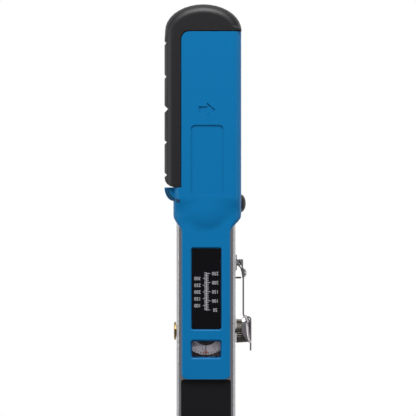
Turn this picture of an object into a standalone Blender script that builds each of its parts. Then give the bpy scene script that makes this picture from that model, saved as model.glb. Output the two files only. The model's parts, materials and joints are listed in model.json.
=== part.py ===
"""Split beam torque wrench, half inch drive, in metres.

X points right and Y towards the handle end, as seen on the reading face; Z points out of that face.
The origin is the centre of the square drive's end face.
"""

import math

import bmesh
import bpy
from mathutils import Matrix, Vector

mm = 0.001

# fits
GAP = 0.3 * mm  # between touching pieces
RUN = 0.15 * mm  # radial room of a shaft in its bore
PAST = 1.0 * mm  # how far a tool, or what is joined, runs past a face
FAR = 80 * mm  # a tool that runs clear of every piece

# square drive and ratchet head
DRIVE_WIDTH = 12.7 * mm
DRIVE_LENGTH = 15.0 * mm
HEAD_RADIUS = 21.0 * mm
HEAD_BACK = 15.0 * mm
HEAD_FRONT = 41.0 * mm
HEAD_FLOOR = 4.0 * mm
HEAD_NECK_WIDTH = 28.0 * mm
HEAD_NECK_START = 12.0 * mm
HEAD_NECK_END = 28.0 * mm
HEAD_NECK_STEP = 4.0 * mm
GEAR_ROOM = 0.4 * mm
COVER_THICK = 1.6 * mm
COVER_INSET = 2.6 * mm
COVER_SCREW_TURNS = (-20, -90, -160)
COVER_SCREW_SHANK = 1.2 * mm
COVER_SCREW_HEAD = 2.0 * mm
COVER_SCREW_RISE = 0.7 * mm
COVER_SCREW_LENGTH = 6.0 * mm
TONGUE_WIDTH = 11.4 * mm
TONGUE_HEIGHT = 16.0 * mm
RATCHET_TEETH = 24
RATCHET_TIP = 11.6 * mm
RATCHET_ROOT = 10.2 * mm
RATCHET_HEIGHT = 18.0 * mm
HUB_RADIUS = 9.0 * mm
STUB_RADIUS = 6.0 * mm
PAWL_AXIS_Y = 14.8 * mm
PAWL_PIN_RADIUS = 1.5 * mm
PAWL_REACH = 8.6 * mm
PAWL_SHOULDER = 1.8 * mm
PAWL_BACK = 2.6 * mm
PAWL_BACK_HALF = 3.4 * mm
PAWL_ROOM = 1.4 * mm
PAWL_ROCK = math.radians(8.0)  # each way from the middle
PAWL_CLEAR = 0.35 * mm  # from the tooth tips while in the middle
PAWL_ARC = 41  # degrees of the wheel that each half spans
PAWL_TIP_ROOM = 0.8 * mm  # from the wheel's root once engaged
BALL_RADIUS = 2.4 * mm
BALL_PROUD = 0.8 * mm
BALL_Z = 6.0 * mm
SQUARE_CORNER = 0.8 * mm
LEVER_REACH = 15.0 * mm
LEVER_CAP_RADIUS = 5.0 * mm
LEVER_CAP_RISE = 2.6 * mm
LEVER_TIP_RADIUS = 2.2 * mm
LEVER_ARM_HALF = 3.2 * mm
LEVER_ARM_THICK = 1.8 * mm
STEM_RADIUS = 2.2 * mm

# flex joint and beams
FLEX_Y = 46.0 * mm
FLEX_PIN_RADIUS = 3.0 * mm
EAR_RADIUS = 10.0 * mm
YOKE_WIDTH = 24.0 * mm
YOKE_END = 100.0 * mm
PIVOT_Y = 80.0 * mm
PIVOT_RADIUS = 4.0 * mm
BEAM_HEIGHT = 12.0 * mm
MAIN_BEAM = 6.0 * mm
FINE_BEAM = 3.5 * mm
FINE_BEAM_X = -7.75 * mm
BEAM_END = 330.0 * mm
BEAM_SEAT = 12.0 * mm
BEAM_RIVET_RADIUS = 2.0 * mm
BEAM_RIVET_INSET = 3.0 * mm
TRIP_X = -0.8 * mm
TRIP_Y = BEAM_END + 9.0 * mm
TRIP_PIN_RADIUS = 1.2 * mm
TRIP_BLOCK_WIDTH = 8.0 * mm
TRIP_BLOCK_LENGTH = 15.0 * mm
TRIP_WEB = 3.0 * mm
TRIP_CHEEK = 1.4 * mm
CAM_THICK = 3.4 * mm
CAM_RADIUS = 2.6 * mm
CAM_TIP_RADIUS = 1.2 * mm
CAM_TIP_X = -8.0 * mm

# channel housing
AXIS_Z = 28.0 * mm
CHANNEL_WIDTH = 38.0 * mm
CHANNEL_DEPTH = 22.0 * mm
CHANNEL_WALL = 1.6 * mm
CHANNEL_CORNER = 3.0 * mm
CHANNEL_START = 62.0 * mm
CHANNEL_END = 572.0 * mm
RAIL_WIDTH = 3.0 * mm
INLAY_THICK = 0.8 * mm
INLAY_START = 66.0 * mm

# carriage, nut and lead screw
CARRIAGE_Y = 195.0 * mm
CARRIAGE_LENGTH = 18.0 * mm
CARRIAGE_SHELL = 1.4 * mm
CARRIAGE_WALL = 3.0 * mm
ROLLER_RADIUS = 1.1 * mm
ROLLER_SPREAD = 6.0 * mm
SCREW_INSET = 5.9 * mm
SCREW_RADIUS = 2.5 * mm
SCREW_TIP_RADIUS = 1.2 * mm
NUT_SIZE = 6.6 * mm
NUT_RISE = 4.2 * mm
NUT_LENGTH = 9.4 * mm
DOG_WIDTH = 5.0 * mm
DOG_ROOM = 0.4 * mm
DOG_BACK_ROOM = 0.9 * mm
BEARING_LENGTH = 6.0 * mm
BEARING_HALF = 3.4 * mm
BEARING_RISE = 4.6 * mm
BEARING_FRONT_Y = 140.0 * mm
BEARING_REAR_Y = 361.0 * mm

# cross shaft, dial and knob
SHAFT_Y = 380.3 * mm
SHAFT_RADIUS = 1.5 * mm
BUSH_RADIUS = 4.0 * mm
BUSH_FLANGE = 5.8 * mm
BUSH_FLANGE_THICK = 1.3 * mm
BUSH_CHAMFER = 0.5 * mm
BUSH_DEPTH = 3.4 * mm
BUSH_FROM_GEAR = 1.9 * mm
BEVEL_TEETH = 20
BEVEL_MODULE = 0.7 * mm
BEVEL_FACE = 2.0 * mm
BEVEL_DEDENDUM = 0.95 * BEVEL_MODULE
BEVEL_ADDENDUM = 0.5 * BEVEL_MODULE
BIG_HUB = 1.6 * mm
SMALL_HUB = 2.4 * mm
PINION_TEETH = 8
CROWN_TEETH = 24
CROWN_RADIUS = 8.0 * mm
CROWN_FACE = 2.8 * mm
CROWN_WEB = 1.5 * mm
CROWN_HUB_RADIUS = 4.0 * mm
CROWN_TIP_WIDTH = 0.42 * mm
CROWN_ROOT_WIDTH = 0.85 * mm
CROWN_OVERLAP = 0.4 * mm
CROWN_CLEAR = 0.75 * mm
PINION_DEDENDUM = 0.6 * mm
PINION_ADDENDUM = 0.5 * mm
CLIP_RADIUS = 3.0 * mm
CLIP_THICK = 0.6 * mm
DIAL_RADIUS = 15.1 * mm
DIAL_THICK = 0.7 * mm
POST_RADIUS = 1.5 * mm
KNOB_RADIUS = 7.7 * mm
KNOB_LENGTH = 7.8 * mm
KNOB_RIBS = 36
KNOB_RIB_DEPTH = 0.35 * mm
KNOB_TAPER = 0.93

# handle mouldings
NECK_INSET = 3.4 * mm
NECK_END = 349.8 * mm
NECK_FRONT = 43.0 * mm
SHOULDER_START = 444.1 * mm
SHOULDER_END = 454.3 * mm
LEFT_WALL = 1.9 * mm
RIGHT_WALL = 3.6 * mm
GRIP_END = 572.7 * mm
GRIP_FRONT = 45.0 * mm
GRIP_BACK = 11.0 * mm
SHELL_ROUND = 5.0 * mm
NECK_ROUND = 1.0 * mm
NECK_CORNER = 3.2 * mm
PANEL_INSET = 4.9 * mm
PANEL_CORNER = 5.4 * mm
GUARD_END = 463.9 * mm
GUARD_STEP = 4.0 * mm
GUARD_ROOT = 3.0 * mm
BOOT_STEP = 4.4 * mm
BOOT_INSET = 0.1 * mm
SPLIT_SPARE = 6.0 * mm
RUBBER_THICK = 5.7 * mm
RUBBER_START = 472.9 * mm
NOTCH_YS = (480.6 * mm, 501.5 * mm, 522.9 * mm, 543.7 * mm, 565.2 * mm)
NOTCH_SIZE = (2.9 * mm, 1.6 * mm)
THUMB_NOTCH_SIZE = (4.9 * mm, 2.5 * mm)
CAP_SHIFT = 0.3 * mm
CAP_RISE = 17.3 * mm
CAP_ROUND = 6.0 * mm
CAP_SHOULDER = 6.0 * mm
PLUG_LENGTH = 8.0 * mm
PLUG_WALL = 2.0 * mm
PLUG_PROUD = 0.4 * mm
BUMPER_Y = 462.6 * mm
BUMPER_RADIUS = 4.45 * mm
BUMPER_RISE = 3.0 * mm
FACE_CIRCLE_Y = 461.5 * mm
FACE_CIRCLE_RADIUS = 16.0 * mm
FACE_STEP_START = FACE_CIRCLE_Y - 6.0 * mm
FACE_STEP_END = FACE_CIRCLE_Y + 5.0 * mm
PANEL_BOX = (-9.7 * mm, 467.6 * mm, 11.1 * mm, 512.5 * mm)
PANEL_DEPTH = 0.8 * mm
PANEL_ROUND = 2.6 * mm
ARROW_TAIL_X = -4.6 * mm
ARROW_TIP_X = 6.1 * mm
ARROW_NECK_X = 0.8 * mm
ARROW_Y = 522.2 * mm
ARROW_HALF = 4.6 * mm
ARROW_SHAFT_HALF = 2.2 * mm
LABEL_BOX = (-9.4 * mm, 381.7 * mm, 9.9 * mm, 433.8 * mm)
LABEL_POCKET = 1.3 * mm
LABEL_THICK = 0.6 * mm
WINDOW_ROUND = 1.4 * mm
WINDOW_BOX = (-9.6 * mm, 363.4 * mm, 9.8 * mm, 374.6 * mm)
WINDOW_LEDGE = 0.6 * mm
WINDOW_LIFT = 1.1 * mm
POST_SEAT = 1.7 * mm
LENS_THICK = 0.9 * mm
SCREW_SPOTS = ((0.0, 465.0 * mm), (0.0, 555.0 * mm))
SCREW_HEAD = 2.8 * mm
SCREW_HEAD_RISE = 1.7 * mm
SCREW_SINK = 2.4 * mm
SCREW_SHANK = 1.5 * mm

# lock lever
LATCH_Y = 424.5 * mm
LATCH_STANDOFF = 2.9 * mm
LATCH_STRIP = 1.0 * mm
LATCH_OFFSET = 2.1 * mm
LATCH_BEND = 2.0 * mm
LATCH_TIP_BEND = 1.6 * mm
LATCH_TAIL = 12.5 * mm
LATCH_CLEAR = 0.8 * mm
LATCH_EYE = 1.7 * mm
LATCH_PIN_RADIUS = 0.8 * mm
LATCH_WIDTH = 9.0 * mm
LATCH_PAD_WIDTH = 15.0 * mm
LATCH_PAD_HALF = 6.0 * mm
BRACKET_EAR = 1.8 * mm
BRACKET_BASE = 0.6 * mm
BRACKET_HALF = 5.0 * mm
RIVET_Y = 417.6 * mm
RIVET_SHANK = 1.0 * mm

# values that follow
TUBE_BACK = AXIS_Z - CHANNEL_DEPTH / 2
TUBE_FRONT = AXIS_Z + CHANNEL_DEPTH / 2
TUBE_SIDE = CHANNEL_WIDTH / 2
INNER_SIDE = TUBE_SIDE - CHANNEL_WALL
INNER_BACK = TUBE_BACK + CHANNEL_WALL
INNER_FRONT = TUBE_FRONT - CHANNEL_WALL
GEAR_BOTTOM = HEAD_BACK + HEAD_FLOOR + GAP
GEAR_TOP = GEAR_BOTTOM + RATCHET_HEIGHT
COVER_BOTTOM = HEAD_FRONT - COVER_THICK
INLAY_WIDTH = CHANNEL_WIDTH - 2 * RAIL_WIDTH
NECK_WIDTH = CHANNEL_WIDTH - 2 * NECK_INSET
SCREW_X = INNER_SIDE - SCREW_INSET
CARRIAGE_SIDE = SCREW_X - SCREW_RADIUS - 1.0 * mm
BIG_PITCH = BEVEL_TEETH * BEVEL_MODULE / 2
SMALL_PITCH = BIG_PITCH / 2
KNOB_START = TUBE_SIDE + 0.5 * mm
KNOB_END = KNOB_START + KNOB_LENGTH
GRIP_LEFT = -TUBE_SIDE - LEFT_WALL
GRIP_RIGHT = TUBE_SIDE + RIGHT_WALL
PANEL_LEFT = GRIP_LEFT + PANEL_INSET
RUBBER_LEFT = GRIP_LEFT - RUBBER_THICK
BOOT_FRONT_FLOOR = GRIP_FRONT - BOOT_STEP
BOOT_BACK_FLOOR = GRIP_BACK + BOOT_STEP
BOOT_DEPTH = GRIP_FRONT - GRIP_BACK - 2 * BOOT_INSET
GUARD_FRONT = GRIP_FRONT - GUARD_STEP
CAP_CENTRE_X = (GRIP_RIGHT + RUBBER_LEFT) / 2 + CAP_SHIFT
CAP_HALF_WIDTH = (GRIP_RIGHT - RUBBER_LEFT) / 2 - BOOT_INSET
LATCH_X = TUBE_SIDE + LATCH_STANDOFF

TURNS = {
    "X": (0, math.pi / 2, 0),
    "-X": (0, -math.pi / 2, 0),
    "Y": (-math.pi / 2, 0, 0),
    "Z": (0, 0, 0),
}
ALONG = {
    "X": Vector((1, 0, 0)),
    "-X": Vector((-1, 0, 0)),
    "Y": Vector((0, 1, 0)),
    "Z": Vector((0, 0, 1)),
}


def clear_scene():
    for obj in list(bpy.data.objects):
        bpy.data.objects.remove(obj, do_unlink=True)


def new_collection(name):
    group = bpy.data.collections.new(name)
    bpy.context.scene.collection.children.link(group)
    return group


clear_scene()
PARTS = new_collection("torque_wrench")
CUTTERS = new_collection("cutters")


# materials

def linear(value):
    return value / 12.92 if value <= 0.04045 else ((value + 0.055) / 1.055) ** 2.4


def material(name, colour, roughness, metallic=0.0):
    mat = bpy.data.materials.new(name)
    mat.use_nodes = True
    shader = mat.node_tree.nodes["Principled BSDF"]
    channels = [linear(int(colour[i:i + 2], 16) / 255) for i in (0, 2, 4)]
    shader.inputs["Base Color"].default_value = (*channels, 1.0)
    shader.inputs["Roughness"].default_value = roughness
    shader.inputs["Metallic"].default_value = metallic
    return mat


POLISHED = material("polished_steel", "c8c6c8", 0.18, 1.0)
TOOL_STEEL = material("tool_steel", "8d8a88", 0.35, 1.0)
BLACKED = material("blacked_steel", "3b3936", 0.45, 1.0)
CHROME = material("satin_chrome", "bdbcc0", 0.25, 1.0)
BRASS = material("brass", "9a7a44", 0.35, 1.0)
BLUE = material("blue_moulding", "0068a5", 0.4)
BLACK_RUBBER = material("black_rubber", "2b292d", 0.75)
BLACK_PLATE = material("black_plate", "15131a", 0.5)
DIAL_GREY = material("dial_grey", "968f9a", 0.45)
CLEAR = material("clear_lens", "d8dde2", 0.08)


# modelling helpers

def add_object(name, mesh, at=(0, 0, 0), axis="Z"):
    obj = bpy.data.objects.new(name, mesh)
    obj.location = at
    obj.rotation_euler = TURNS[axis]
    PARTS.objects.link(obj)
    return obj


def finish(obj, mat, smooth=True):
    obj.data.materials.clear()
    obj.data.materials.append(mat)
    if smooth:
        obj.data.shade_smooth()
        obj.data.set_sharp_from_angle(angle=math.radians(35))
    return obj


def to_mesh(name, bm):
    mesh = bpy.data.meshes.new(name)
    bmesh.ops.recalc_face_normals(bm, faces=bm.faces[:])
    bm.to_mesh(mesh)
    bm.free()
    return mesh


def box(name, low, high):
    """A box between two corners."""
    low = Vector(low)
    high = Vector(high)
    bm = bmesh.new()
    bmesh.ops.create_cube(bm, size=1.0)
    bmesh.ops.scale(bm, vec=high - low, verts=bm.verts[:])
    return add_object(name, to_mesh(name, bm), (low + high) / 2)


def rod(name, axis, foot, radius, length, steps=24, end_radius=None):
    """A round bar from foot along +axis; end_radius makes it a cone."""
    bm = bmesh.new()
    top = radius if end_radius is None else end_radius
    bmesh.ops.create_cone(
        bm, cap_ends=True, segments=steps, radius1=radius, radius2=top, depth=length
    )
    centre = Vector(foot) + ALONG[axis] * (length / 2)
    return add_object(name, to_mesh(name, bm), centre, axis)


def ball(name, centre, radius, steps=16):
    bm = bmesh.new()
    bmesh.ops.create_uvsphere(bm, u_segments=steps, v_segments=steps // 2, radius=radius)
    return add_object(name, to_mesh(name, bm), centre)


def turned(name, profile, axis, at, steps=24):
    """A turned piece: (radius, height) pairs run down its outer side, top to bottom."""
    mesh = bpy.data.meshes.new(name)
    points = [(r, 0, h) for r, h in profile]
    edges = [(i, i + 1) for i in range(len(points) - 1)]
    if profile[0][0] > 0:
        edges.append((len(points) - 1, 0))
    mesh.from_pydata(points, edges, [])
    obj = add_object(name, mesh, at, axis)
    screw = obj.modifiers.new("turn", "SCREW")
    screw.steps = steps
    screw.render_steps = steps
    screw.use_merge_vertices = True
    screw.merge_threshold = 0.000001
    return obj


def plate(name, outline, thickness, at, axis="Z", mid=True):
    """A flat outline given its thickness; at is the middle of the thickness, or its foot."""
    curve = bpy.data.curves.new(name, "CURVE")
    curve.dimensions = "2D"
    curve.fill_mode = "BOTH"
    curve.extrude = thickness / 2
    spline = curve.splines.new("POLY")
    spline.points.add(len(outline) - 1)
    for point, (x, y) in zip(spline.points, outline):
        point.co = (x, y, 0, 1)
    spline.use_cyclic_u = True
    drawn = bpy.data.objects.new(name, curve)
    PARTS.objects.link(drawn)
    bpy.context.view_layer.update()
    graph = bpy.context.evaluated_depsgraph_get()
    mesh = bpy.data.meshes.new_from_object(drawn.evaluated_get(graph))
    bpy.data.objects.remove(drawn)
    bm = bmesh.new()
    bm.from_mesh(mesh)
    bmesh.ops.remove_doubles(bm, verts=bm.verts[:], dist=0.000001)
    place = Vector(at)
    if not mid:
        place += ALONG[axis] * (thickness / 2)
    return add_object(name, to_mesh(name, bm), place, axis)


def hide(obj):
    for group in list(obj.users_collection):
        group.objects.unlink(obj)
    CUTTERS.objects.link(obj)
    obj.hide_render = True
    obj.display_type = "WIRE"


def boolean(obj, tool, operation):
    change = obj.modifiers.new(tool.name, "BOOLEAN")
    change.operation = operation
    change.object = tool
    change.solver = "EXACT"
    hide(tool)
    return obj


def cut(obj, *tools):
    for tool in tools:
        boolean(obj, tool, "DIFFERENCE")
    return obj


def join(obj, *tools):
    for tool in tools:
        boolean(obj, tool, "UNION")
    return obj


def use_manifold(obj):
    """The other solver, for a piece that the exact one leaves open."""
    for change in obj.modifiers:
        if change.type == "BOOLEAN":
            change.solver = "MANIFOLD"


def soften(obj, width, segments=2, angle=40):
    rounding = obj.modifiers.new("soften", "BEVEL")
    rounding.width = width
    rounding.segments = segments
    rounding.limit_method = "ANGLE"
    rounding.angle_limit = math.radians(angle)
    return obj


def group_meshes(name, objects):
    """Copies joined into one object, for a single union."""
    bm = bmesh.new()
    bpy.context.view_layer.update()
    graph = bpy.context.evaluated_depsgraph_get()
    for obj in objects:
        mesh = bpy.data.meshes.new_from_object(obj.evaluated_get(graph))
        mesh.transform(obj.matrix_world)
        bm.from_mesh(mesh)
        bpy.data.meshes.remove(mesh)
    for obj in objects:
        bpy.data.objects.remove(obj)
    return add_object(name, to_mesh(name, bm))


def axis_empty(name, point):
    empty = bpy.data.objects.new(name, None)
    empty.location = point
    empty.empty_display_size = 8 * mm
    PARTS.objects.link(empty)
    return empty


def ride(empty, *objects):
    for obj in objects:
        obj.location = Vector(obj.location) - Vector(empty.location)
        obj.parent = empty


# outlines

def arc(cx, cy, radius, start, end, steps, radius_y=None):
    ry = radius if radius_y is None else radius_y
    turns = [math.radians(start + (end - start) * i / steps) for i in range(steps + 1)]
    return [(cx + radius * math.cos(t), cy + ry * math.sin(t)) for t in turns]


def rounded_box(left, bottom, right, top, radius, steps=4):
    return (
        arc(right - radius, bottom + radius, radius, -90, 0, steps)
        + arc(right - radius, top - radius, radius, 0, 90, steps)
        + arc(left + radius, top - radius, radius, 90, 180, steps)
        + arc(left + radius, bottom + radius, radius, 180, 270, steps)
    )


def toothed(teeth, root, tip, root_share, tip_share, phase=0.0):
    """A gear's outline; the shares are each land's part of the tooth pitch."""
    pitch = 2 * math.pi / teeth
    points = []
    for i in range(teeth):
        middle = phase + i * pitch
        for radius, share in ((root, -root_share), (tip, -tip_share), (tip, tip_share), (root, root_share)):
            turn = middle + share * pitch / 2
            points.append((radius * math.cos(turn), radius * math.sin(turn)))
    return points


def strip(path, thickness):
    """The closed outline of a bent strip whose middle follows the path."""
    sides = ([], [])
    for i, point in enumerate(path):
        before = Vector(path[max(i - 1, 0)])
        after = Vector(path[min(i + 1, len(path) - 1)])
        along = (after - before).normalized()
        across = Vector((-along.y, along.x)) * (thickness / 2)
        sides[0].append(tuple(Vector(point) + across))
        sides[1].append(tuple(Vector(point) - across))
    return sides[0] + sides[1][::-1]


# ratchet head

def pawl_pocket():
    half = PAWL_REACH + PAWL_ROOM
    back = PAWL_AXIS_Y + PAWL_BACK + PAWL_SHOULDER
    front = RATCHET_ROOT / 2
    outline = [(-half, front), (half, front), (half, PAWL_AXIS_Y), (half * 0.55, back)]
    outline += [(-half * 0.55, back), (-half, PAWL_AXIS_Y)]
    depth = COVER_BOTTOM - GEAR_BOTTOM + GAP
    return plate("pawl_pocket", outline, depth, (0, 0, GEAR_BOTTOM - GAP), mid=False)


def cover_spots():
    reach = (HEAD_RADIUS + RATCHET_TIP) / 2 - 0.6 * mm
    turns = [math.radians(turn) for turn in COVER_SCREW_TURNS]
    return [(reach * math.cos(turn), reach * math.sin(turn)) for turn in turns]


def ratchet_head():
    head = rod("ratchet_head", "Z", (0, 0, HEAD_BACK), HEAD_RADIUS, HEAD_FRONT - HEAD_BACK, 48)
    half = TONGUE_WIDTH / 2
    wide = HEAD_NECK_WIDTH / 2
    flank = [(-wide, HEAD_NECK_START), (wide, HEAD_NECK_START), (half, HEAD_NECK_END), (-half, HEAD_NECK_END)]
    neck = plate("neck_taper", flank, HEAD_FRONT - HEAD_BACK - 2 * HEAD_NECK_STEP, (0, 0, AXIS_Z))
    tall = TONGUE_HEIGHT / 2
    side = [(-tall, HEAD_NECK_START), (tall, HEAD_NECK_START)] + arc(0, FLEX_Y, tall, 0, 180, 10)
    tongue = plate("tongue", side, TONGUE_WIDTH, (0, 0, AXIS_Z), "X")
    join(head, neck, tongue)
    bore = rod("gear_bore", "Z", (0, 0, GEAR_BOTTOM - GAP), RATCHET_TIP + GEAR_ROOM, FAR, 40)
    opening = rod("hub_opening", "Z", (0, 0, HEAD_BACK - PAST), HUB_RADIUS + RUN, HEAD_FLOOR + 2 * PAST, 32)
    recess = rod("cover_recess", "Z", (0, 0, COVER_BOTTOM - GAP), HEAD_RADIUS - COVER_INSET + GAP, FAR, 48)
    cut(head, bore, opening, recess, pawl_pocket())
    pin_foot = (0, PAWL_AXIS_Y, HEAD_BACK + PAST)
    pin_hole = rod("pawl_pin_hole", "Z", pin_foot, PAWL_PIN_RADIUS + RUN, HEAD_FLOOR + PAST, 16)
    flex_foot = (-YOKE_WIDTH / 2, FLEX_Y, AXIS_Z)
    flex_hole = rod("flex_hole", "X", flex_foot, FLEX_PIN_RADIUS + RUN, YOKE_WIDTH)
    cut(head, pin_hole, flex_hole)
    for x, y in cover_spots():
        foot = (x, y, HEAD_FRONT - COVER_SCREW_LENGTH - PAST)
        cut(head, rod("cover_screw_hole", "Z", foot, COVER_SCREW_SHANK + RUN, FAR, 12))
    return finish(head, CHROME)


def head_cover():
    cover = rod("head_cover", "Z", (0, 0, COVER_BOTTOM), HEAD_RADIUS - COVER_INSET, COVER_THICK, 48)
    low = COVER_BOTTOM - PAST
    cut(cover, rod("stub_hole", "Z", (0, 0, low), STUB_RADIUS + RUN, FAR, 32))
    cut(cover, rod("stem_hole", "Z", (0, PAWL_AXIS_Y, low), STEM_RADIUS + RUN, FAR, 16))
    seat = HEAD_FRONT - COVER_SCREW_RISE - GAP
    for x, y in cover_spots():
        cut(cover, rod("screw_hole", "Z", (x, y, low), COVER_SCREW_SHANK + RUN, FAR, 12))
        cut(cover, rod("counterbore", "Z", (x, y, seat), COVER_SCREW_HEAD + RUN, FAR, 16))
    return finish(cover, CHROME)


def cover_screws():
    screws = []
    profile = [(0, 0), (COVER_SCREW_HEAD, 0), (COVER_SCREW_HEAD, -COVER_SCREW_RISE)]
    profile += [(COVER_SCREW_SHANK, -COVER_SCREW_RISE), (COVER_SCREW_SHANK, -COVER_SCREW_LENGTH)]
    profile += [(0, -COVER_SCREW_LENGTH)]
    for i, (x, y) in enumerate(cover_spots()):
        screw = turned(f"cover_screw_{i + 1}", profile, "Z", (x, y, HEAD_FRONT - 0.1 * mm), 12)
        screws.append(finish(screw, TOOL_STEEL))
    return screws


def pawl_pin():
    low = HEAD_BACK + PAST + RUN
    high = GEAR_TOP - 0.8 * mm
    pin = rod("pawl_pin", "Z", (0, PAWL_AXIS_Y, low), PAWL_PIN_RADIUS, high - low, 16)
    return finish(pin, TOOL_STEEL)


def drive_gear():
    half = DRIVE_WIDTH / 2
    gear = plate(
        "drive_gear",
        toothed(RATCHET_TEETH, RATCHET_ROOT, RATCHET_TIP, 0.8, 0.25),
        RATCHET_HEIGHT,
        (0, 0, GEAR_BOTTOM),
        mid=False,
    )
    square = rounded_box(-half, -half, half, half, SQUARE_CORNER, 2)
    stub_rise = HEAD_FRONT - GEAR_TOP - 0.4 * mm
    join(
        gear,
        plate("square", square, DRIVE_LENGTH + PAST, (0, 0, 0), mid=False),
        rod("hub", "Z", (0, 0, DRIVE_LENGTH), HUB_RADIUS, GEAR_BOTTOM - DRIVE_LENGTH + PAST, 32),
        rod("stub", "Z", (0, 0, GEAR_TOP - PAST), STUB_RADIUS, stub_rise + PAST, 32),
    )
    cut(gear, rod("ball_bore", "X", (0.5 * mm, 0, BALL_Z), BALL_RADIUS + 0.1 * mm, DRIVE_WIDTH, 20))
    return finish(gear, CHROME)


def drive_washer():
    low = GEAR_TOP + GAP
    inner = STUB_RADIUS + RUN
    outer = RATCHET_TIP - 2 * mm
    tall = COVER_BOTTOM - GAP - low
    profile = [(inner, tall), (outer, tall), (outer, 0), (inner, 0)]
    return finish(turned("drive_washer", profile, "Z", (0, 0, low), 32), TOOL_STEEL)


def detent_ball():
    centre = (DRIVE_WIDTH / 2 + BALL_PROUD - BALL_RADIUS, 0, BALL_Z)
    return finish(ball("detent_ball", centre, BALL_RADIUS, 14), POLISHED)


def turned_about_pawl(points, angle):
    centre = Vector((0, PAWL_AXIS_Y))
    spin = Matrix.Rotation(angle, 2)
    return [tuple(centre + spin @ (Vector(p) - centre)) for p in points]


def pawl():
    back = PAWL_AXIS_Y + PAWL_BACK
    shoulder = PAWL_AXIS_Y - PAWL_SHOULDER
    blank = arc(0, 0, RATCHET_TIP + PAWL_CLEAR, 90 - PAWL_ARC, 90 + PAWL_ARC, 12)
    blank += [(-PAWL_REACH, shoulder), (-PAWL_BACK_HALF, back)]
    blank += [(PAWL_BACK_HALF, back), (PAWL_REACH, shoulder)]
    low = GEAR_BOTTOM + GAP
    height = RATCHET_HEIGHT - 2 * GAP
    piece = plate("pawl", blank, height, (0, 0, low), mid=False)
    root = RATCHET_ROOT + PAWL_TIP_ROOM
    wheel = toothed(RATCHET_TEETH, root, RATCHET_TIP + GAP, 0.94, 0.5)
    start = (0, 0, low - PAST)
    for angle in (-PAWL_ROCK, PAWL_ROCK):
        cut(piece, plate("pawl_teeth", turned_about_pawl(wheel, angle), FAR, start, mid=False))
    cut(piece, rod("pawl_bore", "Z", (0, PAWL_AXIS_Y, low - PAST), PAWL_PIN_RADIUS + RUN, FAR, 16))
    return finish(piece, TOOL_STEEL, smooth=False)


def reverse_lever():
    top = HEAD_FRONT + GAP
    lever = rod("reverse_lever", "Z", (0, PAWL_AXIS_Y, top), LEVER_CAP_RADIUS, LEVER_CAP_RISE, 32)
    outline = [(-LEVER_ARM_HALF, PAWL_AXIS_Y), (LEVER_ARM_HALF, PAWL_AXIS_Y)]
    outline += arc(0, PAWL_AXIS_Y + LEVER_REACH - LEVER_TIP_RADIUS, LEVER_TIP_RADIUS, 0, 180, 6)
    arm = plate("lever_arm", outline, LEVER_ARM_THICK, (0, 0, top), mid=False)
    low = GEAR_TOP + GAP
    stem = rod("lever_stem", "Z", (0, PAWL_AXIS_Y, low), STEM_RADIUS, top + PAST - low, 16)
    join(lever, arm, stem)
    return finish(lever, CHROME)


# flex joint and beams

def beam_yoke():
    tall = TONGUE_HEIGHT / 2
    side = arc(0, FLEX_Y, EAR_RADIUS, 180, 360, 12)
    side += [(EAR_RADIUS, CHANNEL_START - 3 * mm), (tall, CHANNEL_START - 1 * mm), (tall, YOKE_END)]
    side += [(-tall, YOKE_END), (-tall, CHANNEL_START - 1 * mm), (-EAR_RADIUS, CHANNEL_START - 3 * mm)]
    yoke = plate("beam_yoke", side, YOKE_WIDTH, (0, 0, AXIS_Z), "X")
    room = TONGUE_WIDTH / 2 + GAP
    fork = box("fork", (-room, FLEX_Y - EAR_RADIUS - PAST, 0), (room, FLEX_Y + tall + 0.8 * mm, FAR))
    cut(yoke, fork)
    cut(yoke, rod("flex_bore", "X", (-FAR / 2, FLEX_Y, AXIS_Z), FLEX_PIN_RADIUS + RUN, FAR))
    cut(yoke, rod("pivot_bore", "Z", (0, PIVOT_Y, 0), PIVOT_RADIUS + RUN, FAR))
    for centre, width in ((0, MAIN_BEAM), (FINE_BEAM_X, FINE_BEAM)):
        half = width / 2 + GAP
        start = YOKE_END - BEAM_SEAT - GAP
        cut(yoke, box("beam_seat", (centre - half, start, 0), (centre + half, YOKE_END + PAST, FAR)))
    cut(yoke, *rivet_rods("rivet_bore", BEAM_RIVET_RADIUS + RUN, FAR))
    return finish(yoke, CHROME)


def rivet_rods(name, radius, length):
    rods = []
    for i, y in enumerate((YOKE_END - BEAM_SEAT + BEAM_RIVET_INSET, YOKE_END - BEAM_RIVET_INSET)):
        rods.append(rod(f"{name}_{i + 1}", "X", (-length / 2, y, AXIS_Z), radius, length, 16))
    return rods


def beam_rivets():
    rivets = rivet_rods("beam_rivet", BEAM_RIVET_RADIUS, YOKE_WIDTH - 0.4 * mm)
    return [finish(rivet, TOOL_STEEL) for rivet in rivets]


def beam(name, centre, width):
    start = YOKE_END - BEAM_SEAT
    bar = box(
        name,
        (centre - width / 2, start, AXIS_Z - BEAM_HEIGHT / 2),
        (centre + width / 2, BEAM_END, AXIS_Z + BEAM_HEIGHT / 2),
    )
    cut(bar, *rivet_rods("bar_bore", BEAM_RIVET_RADIUS + RUN, FAR))
    return finish(bar, TOOL_STEEL, smooth=False)


def flex_pin():
    length = YOKE_WIDTH - 1 * mm
    return finish(rod("flex_pin", "X", (-length / 2, FLEX_Y, AXIS_Z), FLEX_PIN_RADIUS, length), POLISHED)


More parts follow.
